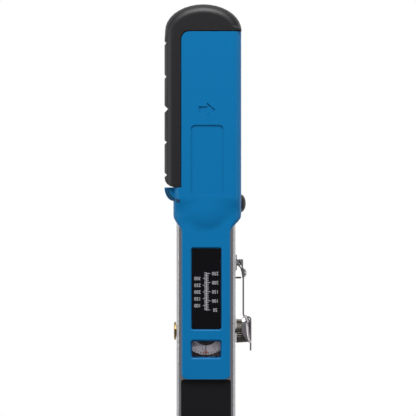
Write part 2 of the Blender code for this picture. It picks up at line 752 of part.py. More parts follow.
def trip_block():
    tall = BEAM_HEIGHT / 2
    half = TRIP_BLOCK_WIDTH / 2
    end = BEAM_END + TRIP_BLOCK_LENGTH
    block = box("trip_block", (-half, BEAM_END + GAP, AXIS_Z - tall), (half, end, AXIS_Z + tall))
    room = CAM_THICK / 2 + GAP
    low = (-half - PAST, BEAM_END + TRIP_WEB, AXIS_Z - room)
    cut(block, box("trip_slot", low, (half - TRIP_CHEEK, end + PAST, AXIS_Z + room)))
    cut(block, rod("trip_bore", "Z", (TRIP_X, TRIP_Y, 0), TRIP_PIN_RADIUS + RUN, FAR, 16))
    return finish(block, TOOL_STEEL)


def trip_pin():
    foot = (TRIP_X, TRIP_Y, AXIS_Z - BEAM_HEIGHT / 2 + GAP)
    pin = rod("trip_pin", "Z", foot, TRIP_PIN_RADIUS, BEAM_HEIGHT - 2 * GAP, 16)
    return finish(pin, POLISHED)


def trip_cam():
    outline = arc(TRIP_X, TRIP_Y, CAM_RADIUS, -110, 110, 10)
    outline += arc(CAM_TIP_X, TRIP_Y, CAM_TIP_RADIUS, 90, 270, 6)
    cam = plate("trip_cam", outline, CAM_THICK, (0, 0, AXIS_Z))
    cut(cam, rod("cam_bore", "Z", (TRIP_X, TRIP_Y, 0), TRIP_PIN_RADIUS + RUN, FAR, 16))
    return finish(cam, TOOL_STEEL)


# carriage, nut and lead screw

def carriage_block():
    left = FINE_BEAM_X - FINE_BEAM / 2 - CARRIAGE_WALL
    half = CARRIAGE_LENGTH / 2
    tall = BEAM_HEIGHT / 2 + CARRIAGE_SHELL
    block = box(
        "carriage_block",
        (left, CARRIAGE_Y - half, AXIS_Z - tall),
        (CARRIAGE_SIDE, CARRIAGE_Y + half, AXIS_Z + tall),
    )
    slot = BEAM_HEIGHT / 2 + GAP
    for centre, width in ((0, MAIN_BEAM), (FINE_BEAM_X, FINE_BEAM)):
        side = width / 2 + GAP
        cut(
            block,
            box(
                "beam_slot",
                (centre - side, CARRIAGE_Y - 2 * half, AXIS_Z - slot),
                (centre + side, CARRIAGE_Y + 2 * half, AXIS_Z + slot),
            ),
        )
    room = DOG_WIDTH / 2 + DOG_ROOM
    low = (MAIN_BEAM / 2, CARRIAGE_Y - room, AXIS_Z - room)
    cut(block, box("dog_slot", low, (CARRIAGE_SIDE + PAST, CARRIAGE_Y + room, AXIS_Z + room)))
    cut(block, *roller_rods("roller_pocket", ROLLER_RADIUS + RUN, BEAM_HEIGHT + 1 * mm))
    return finish(block, TOOL_STEEL)


def roller_rods(name, radius, length):
    offset = MAIN_BEAM / 2 + GAP + ROLLER_RADIUS
    rods = []
    for x in (-offset, offset):
        for y in (CARRIAGE_Y - ROLLER_SPREAD, CARRIAGE_Y + ROLLER_SPREAD):
            foot = (x, y, AXIS_Z - length / 2)
            rods.append(rod(f"{name}_{len(rods) + 1}", "Z", foot, radius, length, 12))
    return rods


def carriage_rollers():
    rollers = roller_rods("carriage_roller", ROLLER_RADIUS, BEAM_HEIGHT)
    return [finish(roller, POLISHED) for roller in rollers]


def lead_nut():
    long = NUT_LENGTH / 2
    left = CARRIAGE_SIDE + 0.5 * mm
    right = SCREW_X + NUT_SIZE / 2
    low = (left, CARRIAGE_Y - long, AXIS_Z - NUT_RISE)
    nut = box("lead_nut", low, (right, CARRIAGE_Y + long, AXIS_Z + NUT_RISE))
    dog = DOG_WIDTH / 2
    tip = (MAIN_BEAM / 2 + DOG_BACK_ROOM, CARRIAGE_Y - dog, AXIS_Z - dog)
    join(nut, box("dog", tip, (left + 0.4 * mm, CARRIAGE_Y + dog, AXIS_Z + dog)))
    foot = (SCREW_X, CARRIAGE_Y - long - PAST, AXIS_Z)
    cut(nut, rod("nut_bore", "Y", foot, SCREW_RADIUS + RUN, NUT_LENGTH + 2 * PAST))
    return finish(nut, BRASS)


def lead_screw():
    start = BEARING_FRONT_Y + 0.6 * mm
    shoulder = BEARING_REAR_Y + BEARING_LENGTH + 2 * mm
    screw = rod("lead_screw", "Y", (SCREW_X, start, AXIS_Z), SCREW_RADIUS, shoulder - start)
    foot = (SCREW_X, shoulder - PAST, AXIS_Z)
    tip = small_bevel_end() + 0.2 * mm
    join(screw, rod("screw_tip", "Y", foot, SCREW_TIP_RADIUS, tip - shoulder + PAST, 16))
    return finish(screw, POLISHED)


def screw_bearing(name, y):
    low = (SCREW_X - BEARING_HALF, y, INNER_BACK + 2 * GAP)
    block = box(name, low, (INNER_SIDE - 2 * GAP, y + BEARING_LENGTH, AXIS_Z + BEARING_RISE))
    length = BEARING_LENGTH + 2 * PAST
    cut(block, rod(name + "_bore", "Y", (SCREW_X, y - PAST, AXIS_Z), SCREW_RADIUS + RUN, length))
    return finish(block, BRASS)


# gear train

def small_bevel_end():
    return SHAFT_Y - BIG_PITCH + BEVEL_FACE


def bevel(name, pitch, teeth, apex, axis, phase, bore, hub_length):
    """A straight bevel gear whose large end lies further from the apex; axis runs to the apex."""
    root = pitch - BEVEL_DEDENDUM
    tip = pitch + BEVEL_ADDENDUM
    outline = toothed(teeth, root, tip, 0.44, 0.16, phase)
    shrink = 1 - BEVEL_FACE / BIG_PITCH
    length = BEVEL_FACE if pitch < BIG_PITCH else BEVEL_FACE / 2
    gear = plate(name, outline, length, apex, axis, mid=False)
    for vertex in gear.data.vertices:
        if vertex.co.z > 0:
            vertex.co.x *= shrink
            vertex.co.y *= shrink
    hub = Vector(apex) - ALONG[axis] * hub_length
    join(gear, rod(name + "_hub", axis, hub, root - 0.4 * mm, hub_length + 0.2 * mm))
    cut(gear, rod(name + "_bore", axis, hub - ALONG[axis] * PAST, bore, FAR, 16))
    return finish(gear, BRASS, smooth=False)


def screw_bevel_gear():
    large_end = (SCREW_X, SHAFT_Y - BIG_PITCH, AXIS_Z)
    teeth = BEVEL_TEETH // 2
    bore = SCREW_TIP_RADIUS + RUN
    return bevel("screw_bevel_gear", SMALL_PITCH, teeth, large_end, "Y", math.pi / teeth, bore, SMALL_HUB)


def shaft_bevel_gear():
    large_end = (SCREW_X + SMALL_PITCH, SHAFT_Y, AXIS_Z)
    bore = SHAFT_RADIUS + RUN
    return bevel("shaft_bevel_gear", BIG_PITCH, BEVEL_TEETH, large_end, "-X", math.pi / 2, bore, BIG_HUB)


def pinion_pitch():
    return CROWN_RADIUS * PINION_TEETH / CROWN_TEETH


def dial_pinion():
    pitch = pinion_pitch()
    phase = math.pi / PINION_TEETH
    outline = toothed(PINION_TEETH, pitch - PINION_DEDENDUM, pitch + PINION_ADDENDUM, 0.62, 0.22, phase)
    start = -CROWN_RADIUS - CROWN_FACE / 2
    gear = plate("dial_pinion", outline, CROWN_FACE, (start, SHAFT_Y, AXIS_Z), "X", mid=False)
    foot = (start - PAST, SHAFT_Y, AXIS_Z)
    cut(gear, rod("pinion_bore", "X", foot, SHAFT_RADIUS + RUN, CROWN_FACE + 2 * PAST))
    return finish(gear, BRASS, smooth=False)


def crown_levels():
    pitch_level = AXIS_Z + pinion_pitch()
    return pitch_level - CROWN_OVERLAP, pitch_level + CROWN_CLEAR


def crown_tooth(angle, tip, root):
    """One wedge of the crown gear, narrower at its tip."""
    bm = bmesh.new()
    bmesh.ops.create_cube(bm, size=1.0)
    top = root + CROWN_WEB / 5
    for vertex in bm.verts:
        vertex.co.x *= CROWN_FACE - 2 * RUN
        vertex.co.y *= CROWN_TIP_WIDTH if vertex.co.z < 0 else CROWN_ROOT_WIDTH
        vertex.co.z *= top - tip
    mesh = to_mesh("crown_tooth", bm)
    middle = Vector((CROWN_RADIUS * math.cos(angle), SHAFT_Y + CROWN_RADIUS * math.sin(angle), 0))
    middle.z = (tip + top) / 2
    tooth = add_object("crown_tooth", mesh, middle)
    tooth.rotation_euler.z = angle
    return tooth


def dial_crown_gear():
    tip, root = crown_levels()
    web = CROWN_RADIUS + CROWN_FACE / 2
    top = dial_bottom() - GAP
    bore = POST_RADIUS + RUN
    back = root + CROWN_WEB
    profile = [(bore, top), (CROWN_HUB_RADIUS, top), (CROWN_HUB_RADIUS, back)]
    profile += [(web, back), (web, root), (bore, root)]
    gear = turned("dial_crown_gear", profile, "Z", (0, SHAFT_Y, 0), 48)
    teeth = [crown_tooth(2 * math.pi * i / CROWN_TEETH, tip, root) for i in range(CROWN_TEETH)]
    join(gear, group_meshes("crown_teeth", teeth))
    return finish(gear, BRASS, smooth=False)


def dial_bottom():
    return TUBE_FRONT - DIAL_THICK - 0.4 * mm


def dial_disc():
    bore = POST_RADIUS + RUN
    profile = [(bore, DIAL_THICK), (DIAL_RADIUS, DIAL_THICK), (DIAL_RADIUS, 0), (bore, 0)]
    return finish(turned("dial_disc", profile, "Z", (0, SHAFT_Y, dial_bottom()), 48), DIAL_GREY)


def dial_post():
    low = crown_levels()[1] - 2 * CLIP_THICK
    high = NECK_FRONT - POST_SEAT - GAP
    post = rod("dial_post", "Z", (0, SHAFT_Y, low), POST_RADIUS, high - low, 16)
    return finish(post, POLISHED)


def dial_clip():
    low = crown_levels()[1] - GAP - CLIP_THICK
    inner = POST_RADIUS + RUN
    profile = [(inner, CLIP_THICK), (CLIP_RADIUS, CLIP_THICK), (CLIP_RADIUS, 0), (inner, 0)]
    return finish(turned("dial_clip", profile, "Z", (0, SHAFT_Y, low), 16), TOOL_STEEL)


def cross_shaft():
    start = -TUBE_SIDE - 1.4 * mm
    end = KNOB_END - 1.2 * mm
    return finish(rod("cross_shaft", "X", (start, SHAFT_Y, AXIS_Z), SHAFT_RADIUS, end - start, 16), POLISHED)


def shaft_bush_left():
    inner = SHAFT_RADIUS + RUN
    outside = -TUBE_SIDE - GAP
    face = -BUSH_FLANGE_THICK
    profile = [(inner, BUSH_DEPTH), (BUSH_RADIUS, BUSH_DEPTH), (BUSH_RADIUS, 0), (BUSH_FLANGE, 0)]
    profile += [(BUSH_FLANGE, face + BUSH_CHAMFER), (BUSH_FLANGE - BUSH_CHAMFER, face), (inner, face)]
    return finish(turned("shaft_bush_left", profile, "X", (outside, SHAFT_Y, AXIS_Z)), BRASS)


def shaft_bush_right():
    inner = SHAFT_RADIUS + RUN
    low = SCREW_X + SMALL_PITCH + BUSH_FROM_GEAR
    length = TUBE_SIDE - low
    profile = [(inner, length), (BUSH_RADIUS, length), (BUSH_RADIUS, 0), (inner, 0)]
    return finish(turned("shaft_bush_right", profile, "X", (low, SHAFT_Y, AXIS_Z)), BRASS)


def knob():
    length = KNOB_END - KNOB_START
    outline = toothed(KNOB_RIBS, KNOB_RADIUS - KNOB_RIB_DEPTH, KNOB_RADIUS, 0.8, 0.3)
    wheel = plate("knob", outline, length, (KNOB_START, SHAFT_Y, AXIS_Z), "X", mid=False)
    for vertex in wheel.data.vertices:
        if vertex.co.z > 0:
            vertex.co.x *= KNOB_TAPER
            vertex.co.y *= KNOB_TAPER
    foot = (KNOB_START - PAST, SHAFT_Y, AXIS_Z)
    cut(wheel, rod("knob_bore", "X", foot, SHAFT_RADIUS + RUN, length - 0.2 * mm, 16))
    return finish(wheel, BLACKED, smooth=False)


# channel housing

def channel():
    side = TUBE_SIDE
    length = CHANNEL_END - CHANNEL_START
    outline = rounded_box(-side, -CHANNEL_DEPTH / 2, side, CHANNEL_DEPTH / 2, CHANNEL_CORNER, 3)
    tube = plate("channel_housing", outline, length, (0, CHANNEL_START, AXIS_Z), "Y", mid=False)
    half = CHANNEL_DEPTH / 2 - CHANNEL_WALL
    inner = rounded_box(-INNER_SIDE, -half, INNER_SIDE, half, CHANNEL_CORNER - CHANNEL_WALL, 3)
    foot = (0, CHANNEL_START - PAST, AXIS_Z)
    cut(tube, plate("channel_hollow", inner, length + 2 * PAST, foot, "Y", mid=False))
    cut(tube, rod("pivot_hole", "Z", (0, PIVOT_Y, 0), PIVOT_RADIUS + RUN, FAR))
    cut(tube, rod("bush_hole", "X", (-FAR / 2, SHAFT_Y, AXIS_Z), BUSH_RADIUS + RUN, FAR))
    cut(tube, rod("dial_hole", "Z", (0, SHAFT_Y, AXIS_Z), DIAL_RADIUS + 0.5 * mm, FAR, 48))
    for x, y in SCREW_SPOTS:
        cut(tube, rod("tapped_hole", "Z", (x, y, 0), SCREW_SHANK + RUN, AXIS_Z, 12))
    return finish(tube, POLISHED)


def pivot_pin():
    low = TUBE_BACK - 1.2 * mm
    head = PIVOT_RADIUS + 1.5 * mm
    profile = [(0, TUBE_FRONT), (PIVOT_RADIUS, TUBE_FRONT), (PIVOT_RADIUS, TUBE_BACK - GAP)]
    profile += [(head, TUBE_BACK - GAP), (head, low), (0, low)]
    return finish(turned("pivot_pin", profile, "Z", (0, PIVOT_Y, 0)), POLISHED)


def face_inlay():
    half = INLAY_WIDTH / 2
    low = TUBE_FRONT + GAP
    outline = rounded_box(-half, INLAY_START, half, NECK_END - GAP, 1.5 * mm, 3)
    return finish(plate("face_inlay", outline, INLAY_THICK, (0, 0, low), mid=False), BLACK_PLATE)


# handle mouldings

def neck_half(y):
    """Half the neck's width, with its rounded corners at the lower end."""
    into = NECK_CORNER - (y - NECK_END)
    if into <= 0:
        return NECK_WIDTH / 2
    return NECK_WIDTH / 2 - NECK_CORNER + math.sqrt(NECK_CORNER ** 2 - into ** 2)


def ramp(value, low, high):
    """0 at low and 1 at high, level at both ends."""
    t = min(max((value - low) / (high - low), 0.0), 1.0)
    return t * t * (3 - 2 * t)


def grip_sides(y):
    widen = ramp(y, SHOULDER_START, SHOULDER_END)
    half = neck_half(y)
    left = -half + widen * (GRIP_LEFT + half)
    right = half + widen * (GRIP_RIGHT - half)
    return left, right


def face_height(x, y):
    """The reading face: neck level, then the round end of the raised grip, then grip level."""
    rise = GRIP_FRONT - NECK_FRONT
    edge = ramp(y, FACE_STEP_START, FACE_STEP_END)
    away = math.hypot(x, max(FACE_CIRCLE_Y - y, 0.0)) / FACE_CIRCLE_RADIUS
    dome = 1 - min(away, 1.0) ** 3
    return NECK_FRONT + rise * max(dome, edge)


def loft(name, sections):
    """A closed skin over sections with equal numbers of points."""
    bm = bmesh.new()
    rings = [[bm.verts.new(point) for point in section] for section in sections]
    count = len(sections[0])
    for first, second in zip(rings, rings[1:]):
        for i in range(count):
            j = (i + 1) % count
            bm.faces.new((first[i], first[j], second[j], second[i]))
    bm.faces.new(rings[0])
    bm.faces.new(rings[-1][::-1])
    return add_object(name, to_mesh(name, bm))


def shell_stations():
    corner = [NECK_END + NECK_CORNER * k for k in (0.0, 0.08, 0.3, 0.6, 1.0)]
    rise = [SHOULDER_START + (FACE_STEP_END - SHOULDER_START) * i / 10 for i in range(11)]
    return corner + rise + [GRIP_END]


def front_section(y):
    left, right = grip_sides(y)
    soft = NECK_ROUND + (SHELL_ROUND - NECK_ROUND) * ramp(y, SHOULDER_START, SHOULDER_END)
    low = AXIS_Z - SPLIT_SPARE
    top_left = face_height(left + soft, y)
    top_right = face_height(right - soft, y)
    points = [(left, y, low)]
    points += [(x, y, z) for x, z in arc(left + soft, top_left - soft, soft, 180, 90, 4)]
    inner = right - left - 2 * soft
    for i in range(1, 8):
        x = left + soft + inner * i / 8
        points.append((x, y, face_height(x, y)))
    points += [(x, y, z) for x, z in arc(right - soft, top_right - soft, soft, 90, 0, 4)]
    return points + [(right, y, low)]


def back_section(y):
    left, right = grip_sides(y)
    soft = SHELL_ROUND
    high = AXIS_Z + SPLIT_SPARE
    outline = arc(right - soft, GRIP_BACK + soft, soft, 0, -90, 4)
    outline += arc(left + soft, GRIP_BACK + soft, soft, -90, -180, 4)
    return [(right, y, high)] + [(x, y, z) for x, z in outline] + [(left, y, high)]


def rubber_outline(clear):
    """The boot's inner edge on the faces, grown by clear, closed far outside."""
    edge = PANEL_LEFT - clear
    top = GRIP_END + clear
    low = RUBBER_START - GAP
    radius = PANEL_CORNER
    corner = arc(PANEL_LEFT + radius, GRIP_END - radius, radius + clear, 180, 90, 5)
    outside = [(FAR, top), (FAR, top + FAR), (-FAR, top + FAR), (-FAR, low)]
    return [(edge, low)] + corner + outside


def boot_room(low, high):
    """What the boot takes from a shell's face."""
    return plate("boot_room", rubber_outline(-GAP), high - low, (0, 0, low), mid=False)


def finger_guard():
    """The quarter round below the rubber, which stops the first finger."""
    top = RUBBER_START - GAP
    across = GRIP_LEFT - RUBBER_LEFT
    rise = top - GUARD_END
    points = arc(GRIP_LEFT, top, across, 180, 270, 6, rise)
    return points + [(GRIP_LEFT + GUARD_ROOT, top - rise), (GRIP_LEFT + GUARD_ROOT, top)]


def tube_room():
    side = TUBE_SIDE + GAP
    low = (-side, NECK_END - PAST, TUBE_BACK - GAP)
    return box("tube_room", low, (side, GRIP_END + PAST, TUBE_FRONT + GAP))


def pocket(name, bounds, radius, low, high, inset=0.0):
    left, bottom, right, top = bounds
    outline = rounded_box(left + inset, bottom + inset, right - inset, top - inset, radius)
    return plate(name, outline, high - low, (0, 0, low), mid=False)


def arrow():
    points = [
        (ARROW_TAIL_X, ARROW_Y - ARROW_SHAFT_HALF),
        (ARROW_NECK_X, ARROW_Y - ARROW_SHAFT_HALF),
        (ARROW_NECK_X, ARROW_Y - ARROW_HALF),
        (ARROW_TIP_X, ARROW_Y),
        (ARROW_NECK_X, ARROW_Y + ARROW_HALF),
        (ARROW_NECK_X, ARROW_Y + ARROW_SHAFT_HALF),
        (ARROW_TAIL_X, ARROW_Y + ARROW_SHAFT_HALF),
    ]
    return plate("arrow", points, FAR, (0, 0, GRIP_FRONT - PANEL_DEPTH), mid=False)


def handle_front_shell():
    low = AXIS_Z - SPLIT_SPARE
    shell = loft("handle_front_shell", [front_section(y) for y in shell_stations()])
    foot = (0, 0, low + GAP)
    join(shell, plate("guard", finger_guard(), GUARD_FRONT - low, foot, mid=False))
    cut(shell, split_room(low - PAST, AXIS_Z + GAP / 2), tube_room())
    cut(shell, boot_room(BOOT_FRONT_FLOOR, GRIP_FRONT + PAST))
    over = GRIP_FRONT + PAST
    cut(shell, pocket("label_pocket", LABEL_BOX, WINDOW_ROUND, NECK_FRONT - LABEL_POCKET, over))
    cut(shell, pocket("window", WINDOW_BOX, WINDOW_ROUND, TUBE_FRONT + WINDOW_LIFT, over))
    cut(shell, pocket("window_light", WINDOW_BOX, WINDOW_ROUND, TUBE_FRONT - PAST, over, WINDOW_LEDGE))
    cut(shell, pocket("panel_pocket", PANEL_BOX, PANEL_ROUND, GRIP_FRONT - PANEL_DEPTH, over))
    cut(shell, arrow())
    seat = TUBE_FRONT - PAST
    depth = NECK_FRONT - POST_SEAT - seat
    cut(shell, rod("post_hole", "Z", (0, SHAFT_Y, seat), POST_RADIUS + RUN, depth, 16))
    use_manifold(shell)
    return finish(shell, BLUE)


def split_room(low, high):
    return box("split_room", (-FAR, NECK_END - PAST, low), (FAR, GRIP_END + PAST, high))


def handle_back_shell():
    high = AXIS_Z + SPLIT_SPARE
    stations = [y for y in shell_stations() if y >= SHOULDER_START]
    shell = loft("handle_back_shell", [back_section(y) for y in stations])
    low = GRIP_BACK + GUARD_STEP
    join(shell, plate("back_guard", finger_guard(), high - GAP - low, (0, 0, low), mid=False))
    cut(shell, split_room(AXIS_Z - GAP / 2, high + PAST), tube_room())
    cut(shell, boot_room(GRIP_BACK - PAST, BOOT_BACK_FLOOR))
    for x, y in SCREW_SPOTS:
        cut(shell, rod("shank_hole", "Z", (x, y, 0), SCREW_SHANK + RUN, AXIS_Z, 12))
        cut(shell, rod("head_hole", "Z", (x, y, 0), SCREW_HEAD + RUN, GRIP_BACK + SCREW_SINK, 16))
    use_manifold(shell)
    return finish(shell, BLUE)


def handle_screws():
    tip = INNER_BACK + 2 * GAP
    seat = GRIP_BACK + SCREW_SINK - GAP
    face = seat - SCREW_HEAD_RISE
    profile = [(0, tip), (SCREW_SHANK, tip), (SCREW_SHANK, seat), (SCREW_HEAD, seat)]
    profile += [(SCREW_HEAD, face), (0, face)]
    for i, (x, y) in enumerate(SCREW_SPOTS):
        finish(turned(f"handle_screw_{i + 1}", profile, "Z", (x, y, 0), 12), TOOL_STEEL)


def round_outer_edges(obj, width, segments):
    """Rounds the rims of the boot's outer side and leaves those that meet the blue faces."""
    bm = bmesh.new()
    bm.from_mesh(obj.data)
    inside = PANEL_LEFT - 2 * mm
    rims = []
    for edge in bm.edges:
        if not all(abs(abs(v.co.z) - BOOT_DEPTH / 2) < 0.01 * mm for v in edge.verts):
            continue
        if edge.calc_face_angle(0) < math.radians(60):
            continue
        if all(v.co.x < inside or v.co.y > GRIP_END + 2 * mm for v in edge.verts):
            rims.append(edge)
    bmesh.ops.bevel(bm, geom=rims, offset=width, segments=segments, profile=0.5, affect="EDGES")
    bm.to_mesh(obj.data)
    bm.free()


def grip_rubber():
    top = GRIP_END + GAP
    outline = arc(CAP_CENTRE_X, top, CAP_HALF_WIDTH, 0, 180, 18, CAP_RISE - GAP)
    outline += [(RUBBER_LEFT, GRIP_END - CAP_SHOULDER), (RUBBER_LEFT, RUBBER_START)]
    inner = rubber_outline(GAP)[:-4]
    outline += [(inner[0][0], RUBBER_START)] + inner[1:] + [(GRIP_RIGHT - PAST, top)]
    boot = plate("grip_rubber", outline, BOOT_DEPTH, (0, 0, AXIS_Z))
    round_outer_edges(boot, CAP_ROUND, 4)
    low = (GRIP_LEFT - GAP, RUBBER_START - PAST, BOOT_BACK_FLOOR - GAP)
    cut(boot, box("shell_room", low, (FAR, GRIP_END + GAP, BOOT_FRONT_FLOOR + GAP)))
    for y in NOTCH_YS:
        wide, deep = THUMB_NOTCH_SIZE if y == NOTCH_YS[2] else NOTCH_SIZE
        half = wide / 2 * (deep + PAST) / deep
        outside = RUBBER_LEFT - PAST
        points = [(RUBBER_LEFT + deep, y), (outside, y + half), (outside, y - half)]
        cut(boot, plate("notch", points, BOOT_DEPTH + 2 * PAST, (0, 0, AXIS_Z)))
    use_manifold(boot)
    return finish(boot, BLACK_RUBBER)


def end_cap():
    """Closes the channel under the boot."""
    side = INNER_SIDE - 2 * GAP
    back = INNER_BACK + 2 * GAP
    front = INNER_FRONT - 2 * GAP
    start = CHANNEL_END - PLUG_LENGTH
    end = CHANNEL_END + PLUG_PROUD
    cap = box("end_cap", (-side, start, back), (side, end, front))
    wall = PLUG_WALL
    low = (-side + wall, start - PAST, back + wall)
    cut(cap, box("cap_hollow", low, (side - wall, end - wall, front - wall)))
    return finish(cap, BLACK_PLATE)


def thumb_bumper():
    rise = BUMPER_RISE
    profile = [(0, rise), (BUMPER_RADIUS * 0.5, rise * 0.88), (BUMPER_RADIUS * 0.85, rise * 0.5)]
    profile += [(BUMPER_RADIUS, 0), (0, 0)]
    at = (GRIP_RIGHT + GAP, BUMPER_Y, AXIS_Z)
    return finish(turned("thumb_bumper", profile, "X", at), BLACK_RUBBER)


def label_plate():
    low = NECK_FRONT - LABEL_POCKET + GAP
    plate_obj = pocket("label_plate", LABEL_BOX, 1.1 * mm, low, low + LABEL_THICK, GAP)
    return finish(plate_obj, BLACK_PLATE)


def dial_lens():
    low = TUBE_FRONT + WINDOW_LIFT + GAP
    return finish(pocket("dial_lens", WINDOW_BOX, 1.1 * mm, low, low + LENS_THICK, GAP), CLEAR)


# lock lever

def latch_bracket():
    foot = TUBE_SIDE + GAP
    wide = LATCH_WIDTH / 2 + BRACKET_EAR
    start = (foot, LATCH_Y - BRACKET_HALF, AXIS_Z - wide)
    bracket = box("latch_bracket", start, (foot + BRACKET_BASE, LATCH_Y + BRACKET_HALF, AXIS_Z + wide))
    reach = LATCH_PIN_RADIUS + 1.2 * mm
    for side in (-1, 1):
        inner = AXIS_Z + side * (LATCH_WIDTH / 2 + GAP)
        low, high = sorted((inner, AXIS_Z + side * wide))
        ear = box("ear", (foot + RUN, LATCH_Y - reach, low), (LATCH_X + reach, LATCH_Y + reach, high))
        join(bracket, ear)
    bore = LATCH_PIN_RADIUS + RUN
    cut(bracket, rod("latch_bore", "Z", (LATCH_X, LATCH_Y, AXIS_Z - FAR / 2), bore, FAR, 16))
    return finish(bracket, POLISHED)


def latch_pin():
    length = LATCH_WIDTH + 2 * BRACKET_EAR
    foot = (LATCH_X, LATCH_Y, AXIS_Z - length / 2)
    return finish(rod("latch_pin", "Z", foot, LATCH_PIN_RADIUS, length, 16), TOOL_STEEL)


def lock_lever():
    half = LATCH_STRIP / 2
    straight = LATCH_X + LATCH_OFFSET
    outside = KNOB_END + LATCH_CLEAR + half + 0.1 * mm
    above = SHAFT_Y + KNOB_RADIUS + LATCH_CLEAR + half
    path = [(LATCH_X + 1.2 * mm, LATCH_Y - 0.6 * mm), (LATCH_X + 1.6 * mm, LATCH_Y - 4 * mm)]
    path += [(straight, LATCH_Y - 8 * mm), (straight, above + LATCH_BEND + 0.6 * mm)]
    path += arc(straight + LATCH_BEND, above + LATCH_BEND, LATCH_BEND, 180, 270, 4)
    path += arc(outside - LATCH_TIP_BEND, above - LATCH_TIP_BEND, LATCH_TIP_BEND, 90, 0, 4)
    path += [(outside, SHAFT_Y - LATCH_TAIL)]
    lever = plate("lock_lever", strip(path, LATCH_STRIP), LATCH_WIDTH, (0, 0, AXIS_Z))
    eye = rod("eye", "Z", (LATCH_X, LATCH_Y, AXIS_Z - LATCH_WIDTH / 2), LATCH_EYE, LATCH_WIDTH, 20)
    wide = LATCH_PAD_WIDTH / 2
    low = (outside - half, SHAFT_Y - LATCH_PAD_HALF, AXIS_Z - wide)
    pad = box("pad", low, (outside + half, SHAFT_Y + LATCH_PAD_HALF, AXIS_Z + wide))
    join(lever, eye, pad)
    cut(lever, rod("eye_bore", "Z", (LATCH_X, LATCH_Y, 0), LATCH_PIN_RADIUS + RUN, FAR, 16))
    cut(lever, rod("rivet_hole", "X", (LATCH_X, RIVET_Y, AXIS_Z), RIVET_SHANK + RUN, FAR, 12))
    return finish(lever, POLISHED)


def lever_rivet():
    x = LATCH_X + LATCH_OFFSET + LATCH_STRIP / 2 + GAP
    head = [(r * mm, h * mm) for r, h in ((0, 1.5), (1.4, 1.3), (2.4, 0.7), (2.8, 0))]
    tail = -LATCH_STRIP - 3 * GAP
    shank = [(RIVET_SHANK, 0), (RIVET_SHANK, tail), (0, tail)]
    return finish(turned("lever_rivet", head + shank, "X", (x, RIVET_Y, AXIS_Z), 20), POLISHED)


# assembly

def build():
    channel()
    pivot_pin()
    face_inlay()
    handle_front_shell()
    handle_back_shell()
    handle_screws()
    grip_rubber()
    end_cap()
    thumb_bumper()
    label_plate()
    dial_lens()
    dial_post()
    dial_clip()
    shaft_bush_left()
    shaft_bush_right()
    latch_bracket()
    latch_pin()
    screw_bearing("screw_bearing_front", BEARING_FRONT_Y)
    screw_bearing("screw_bearing_rear", BEARING_REAR_Y)

    click = axis_empty("click_axis", (0, PIVOT_Y, AXIS_Z))
    ride(click, beam_yoke(), beam("main_beam", 0, MAIN_BEAM))
    ride(click, beam("measuring_beam", FINE_BEAM_X, FINE_BEAM), *beam_rivets())
    ride(click, flex_pin(), trip_block(), trip_pin())
    ride(axis_empty("trip_axis", (TRIP_X, TRIP_Y, AXIS_Z)), trip_cam())
    ride(axis_empty("carriage_axis", (0, CARRIAGE_Y, AXIS_Z)), carriage_block(), *carriage_rollers())
    ride(axis_empty("nut_axis", (SCREW_X, CARRIAGE_Y, AXIS_Z)), lead_nut())
    ride(axis_empty("screw_axis", (SCREW_X, CARRIAGE_Y, AXIS_Z)), lead_screw(), screw_bevel_gear())
    setting = axis_empty("knob_axis", (0, SHAFT_Y, AXIS_Z))
    ride(setting, cross_shaft(), shaft_bevel_gear(), dial_pinion(), knob())
    ride(axis_empty("dial_axis", (0, SHAFT_Y, AXIS_Z)), dial_disc(), dial_crown_gear())
    ride(axis_empty("latch_axis", (LATCH_X, LATCH_Y, AXIS_Z)), lock_lever(), lever_rivet())

    flex = axis_empty("flex_axis", (0, FLEX_Y, AXIS_Z))
    ride(flex, ratchet_head(), head_cover(), pawl_pin(), *cover_screws())
    ride(axis_empty("drive_axis", (0, 0, 0)), drive_gear(), drive_washer())
    ride(axis_empty("ball_axis", (DRIVE_WIDTH / 2, 0, BALL_Z)), detent_ball())
    ride(axis_empty("pawl_axis", (0, PAWL_AXIS_Y, HEAD_FRONT)), pawl())
    ride(axis_empty("reverse_axis", (0, PAWL_AXIS_Y, HEAD_FRONT)), reverse_lever())


build()
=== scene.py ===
import json
import math

import bmesh
import bpy
from mathutils import Matrix, Vector
from mathutils.bvhtree import BVHTree


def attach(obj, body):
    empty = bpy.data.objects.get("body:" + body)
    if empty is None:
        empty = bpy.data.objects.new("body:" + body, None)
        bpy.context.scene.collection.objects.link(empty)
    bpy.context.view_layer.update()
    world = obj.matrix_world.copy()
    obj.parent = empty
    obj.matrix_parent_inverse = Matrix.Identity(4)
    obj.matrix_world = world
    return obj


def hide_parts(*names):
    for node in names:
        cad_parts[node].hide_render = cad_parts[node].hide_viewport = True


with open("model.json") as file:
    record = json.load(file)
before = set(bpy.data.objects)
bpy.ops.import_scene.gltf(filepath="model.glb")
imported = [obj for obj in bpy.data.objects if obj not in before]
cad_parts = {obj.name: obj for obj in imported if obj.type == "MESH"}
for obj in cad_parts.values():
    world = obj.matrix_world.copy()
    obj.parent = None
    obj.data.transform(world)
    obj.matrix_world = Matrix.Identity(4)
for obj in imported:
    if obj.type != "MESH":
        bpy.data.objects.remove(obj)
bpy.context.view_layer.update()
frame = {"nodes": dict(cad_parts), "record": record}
mm = 0.001
print("frame loaded")


def linearColour(code):
    parts = [int(code[i : i + 2], 16) / 255 for i in (1, 3, 5)]
    return [p / 12.92 if p <= 0.04045 else ((p + 0.055) / 1.055) ** 2.4 for p in parts] + [1.0]


def addNode(tree, kind, place, **values):
    node = tree.nodes.new(kind)
    node.location = place
    for key, value in values.items():
        if hasattr(node, key):
            setattr(node, key, value)
        else:
            node.inputs[key.replace("_", " ")].default_value = value
    return node


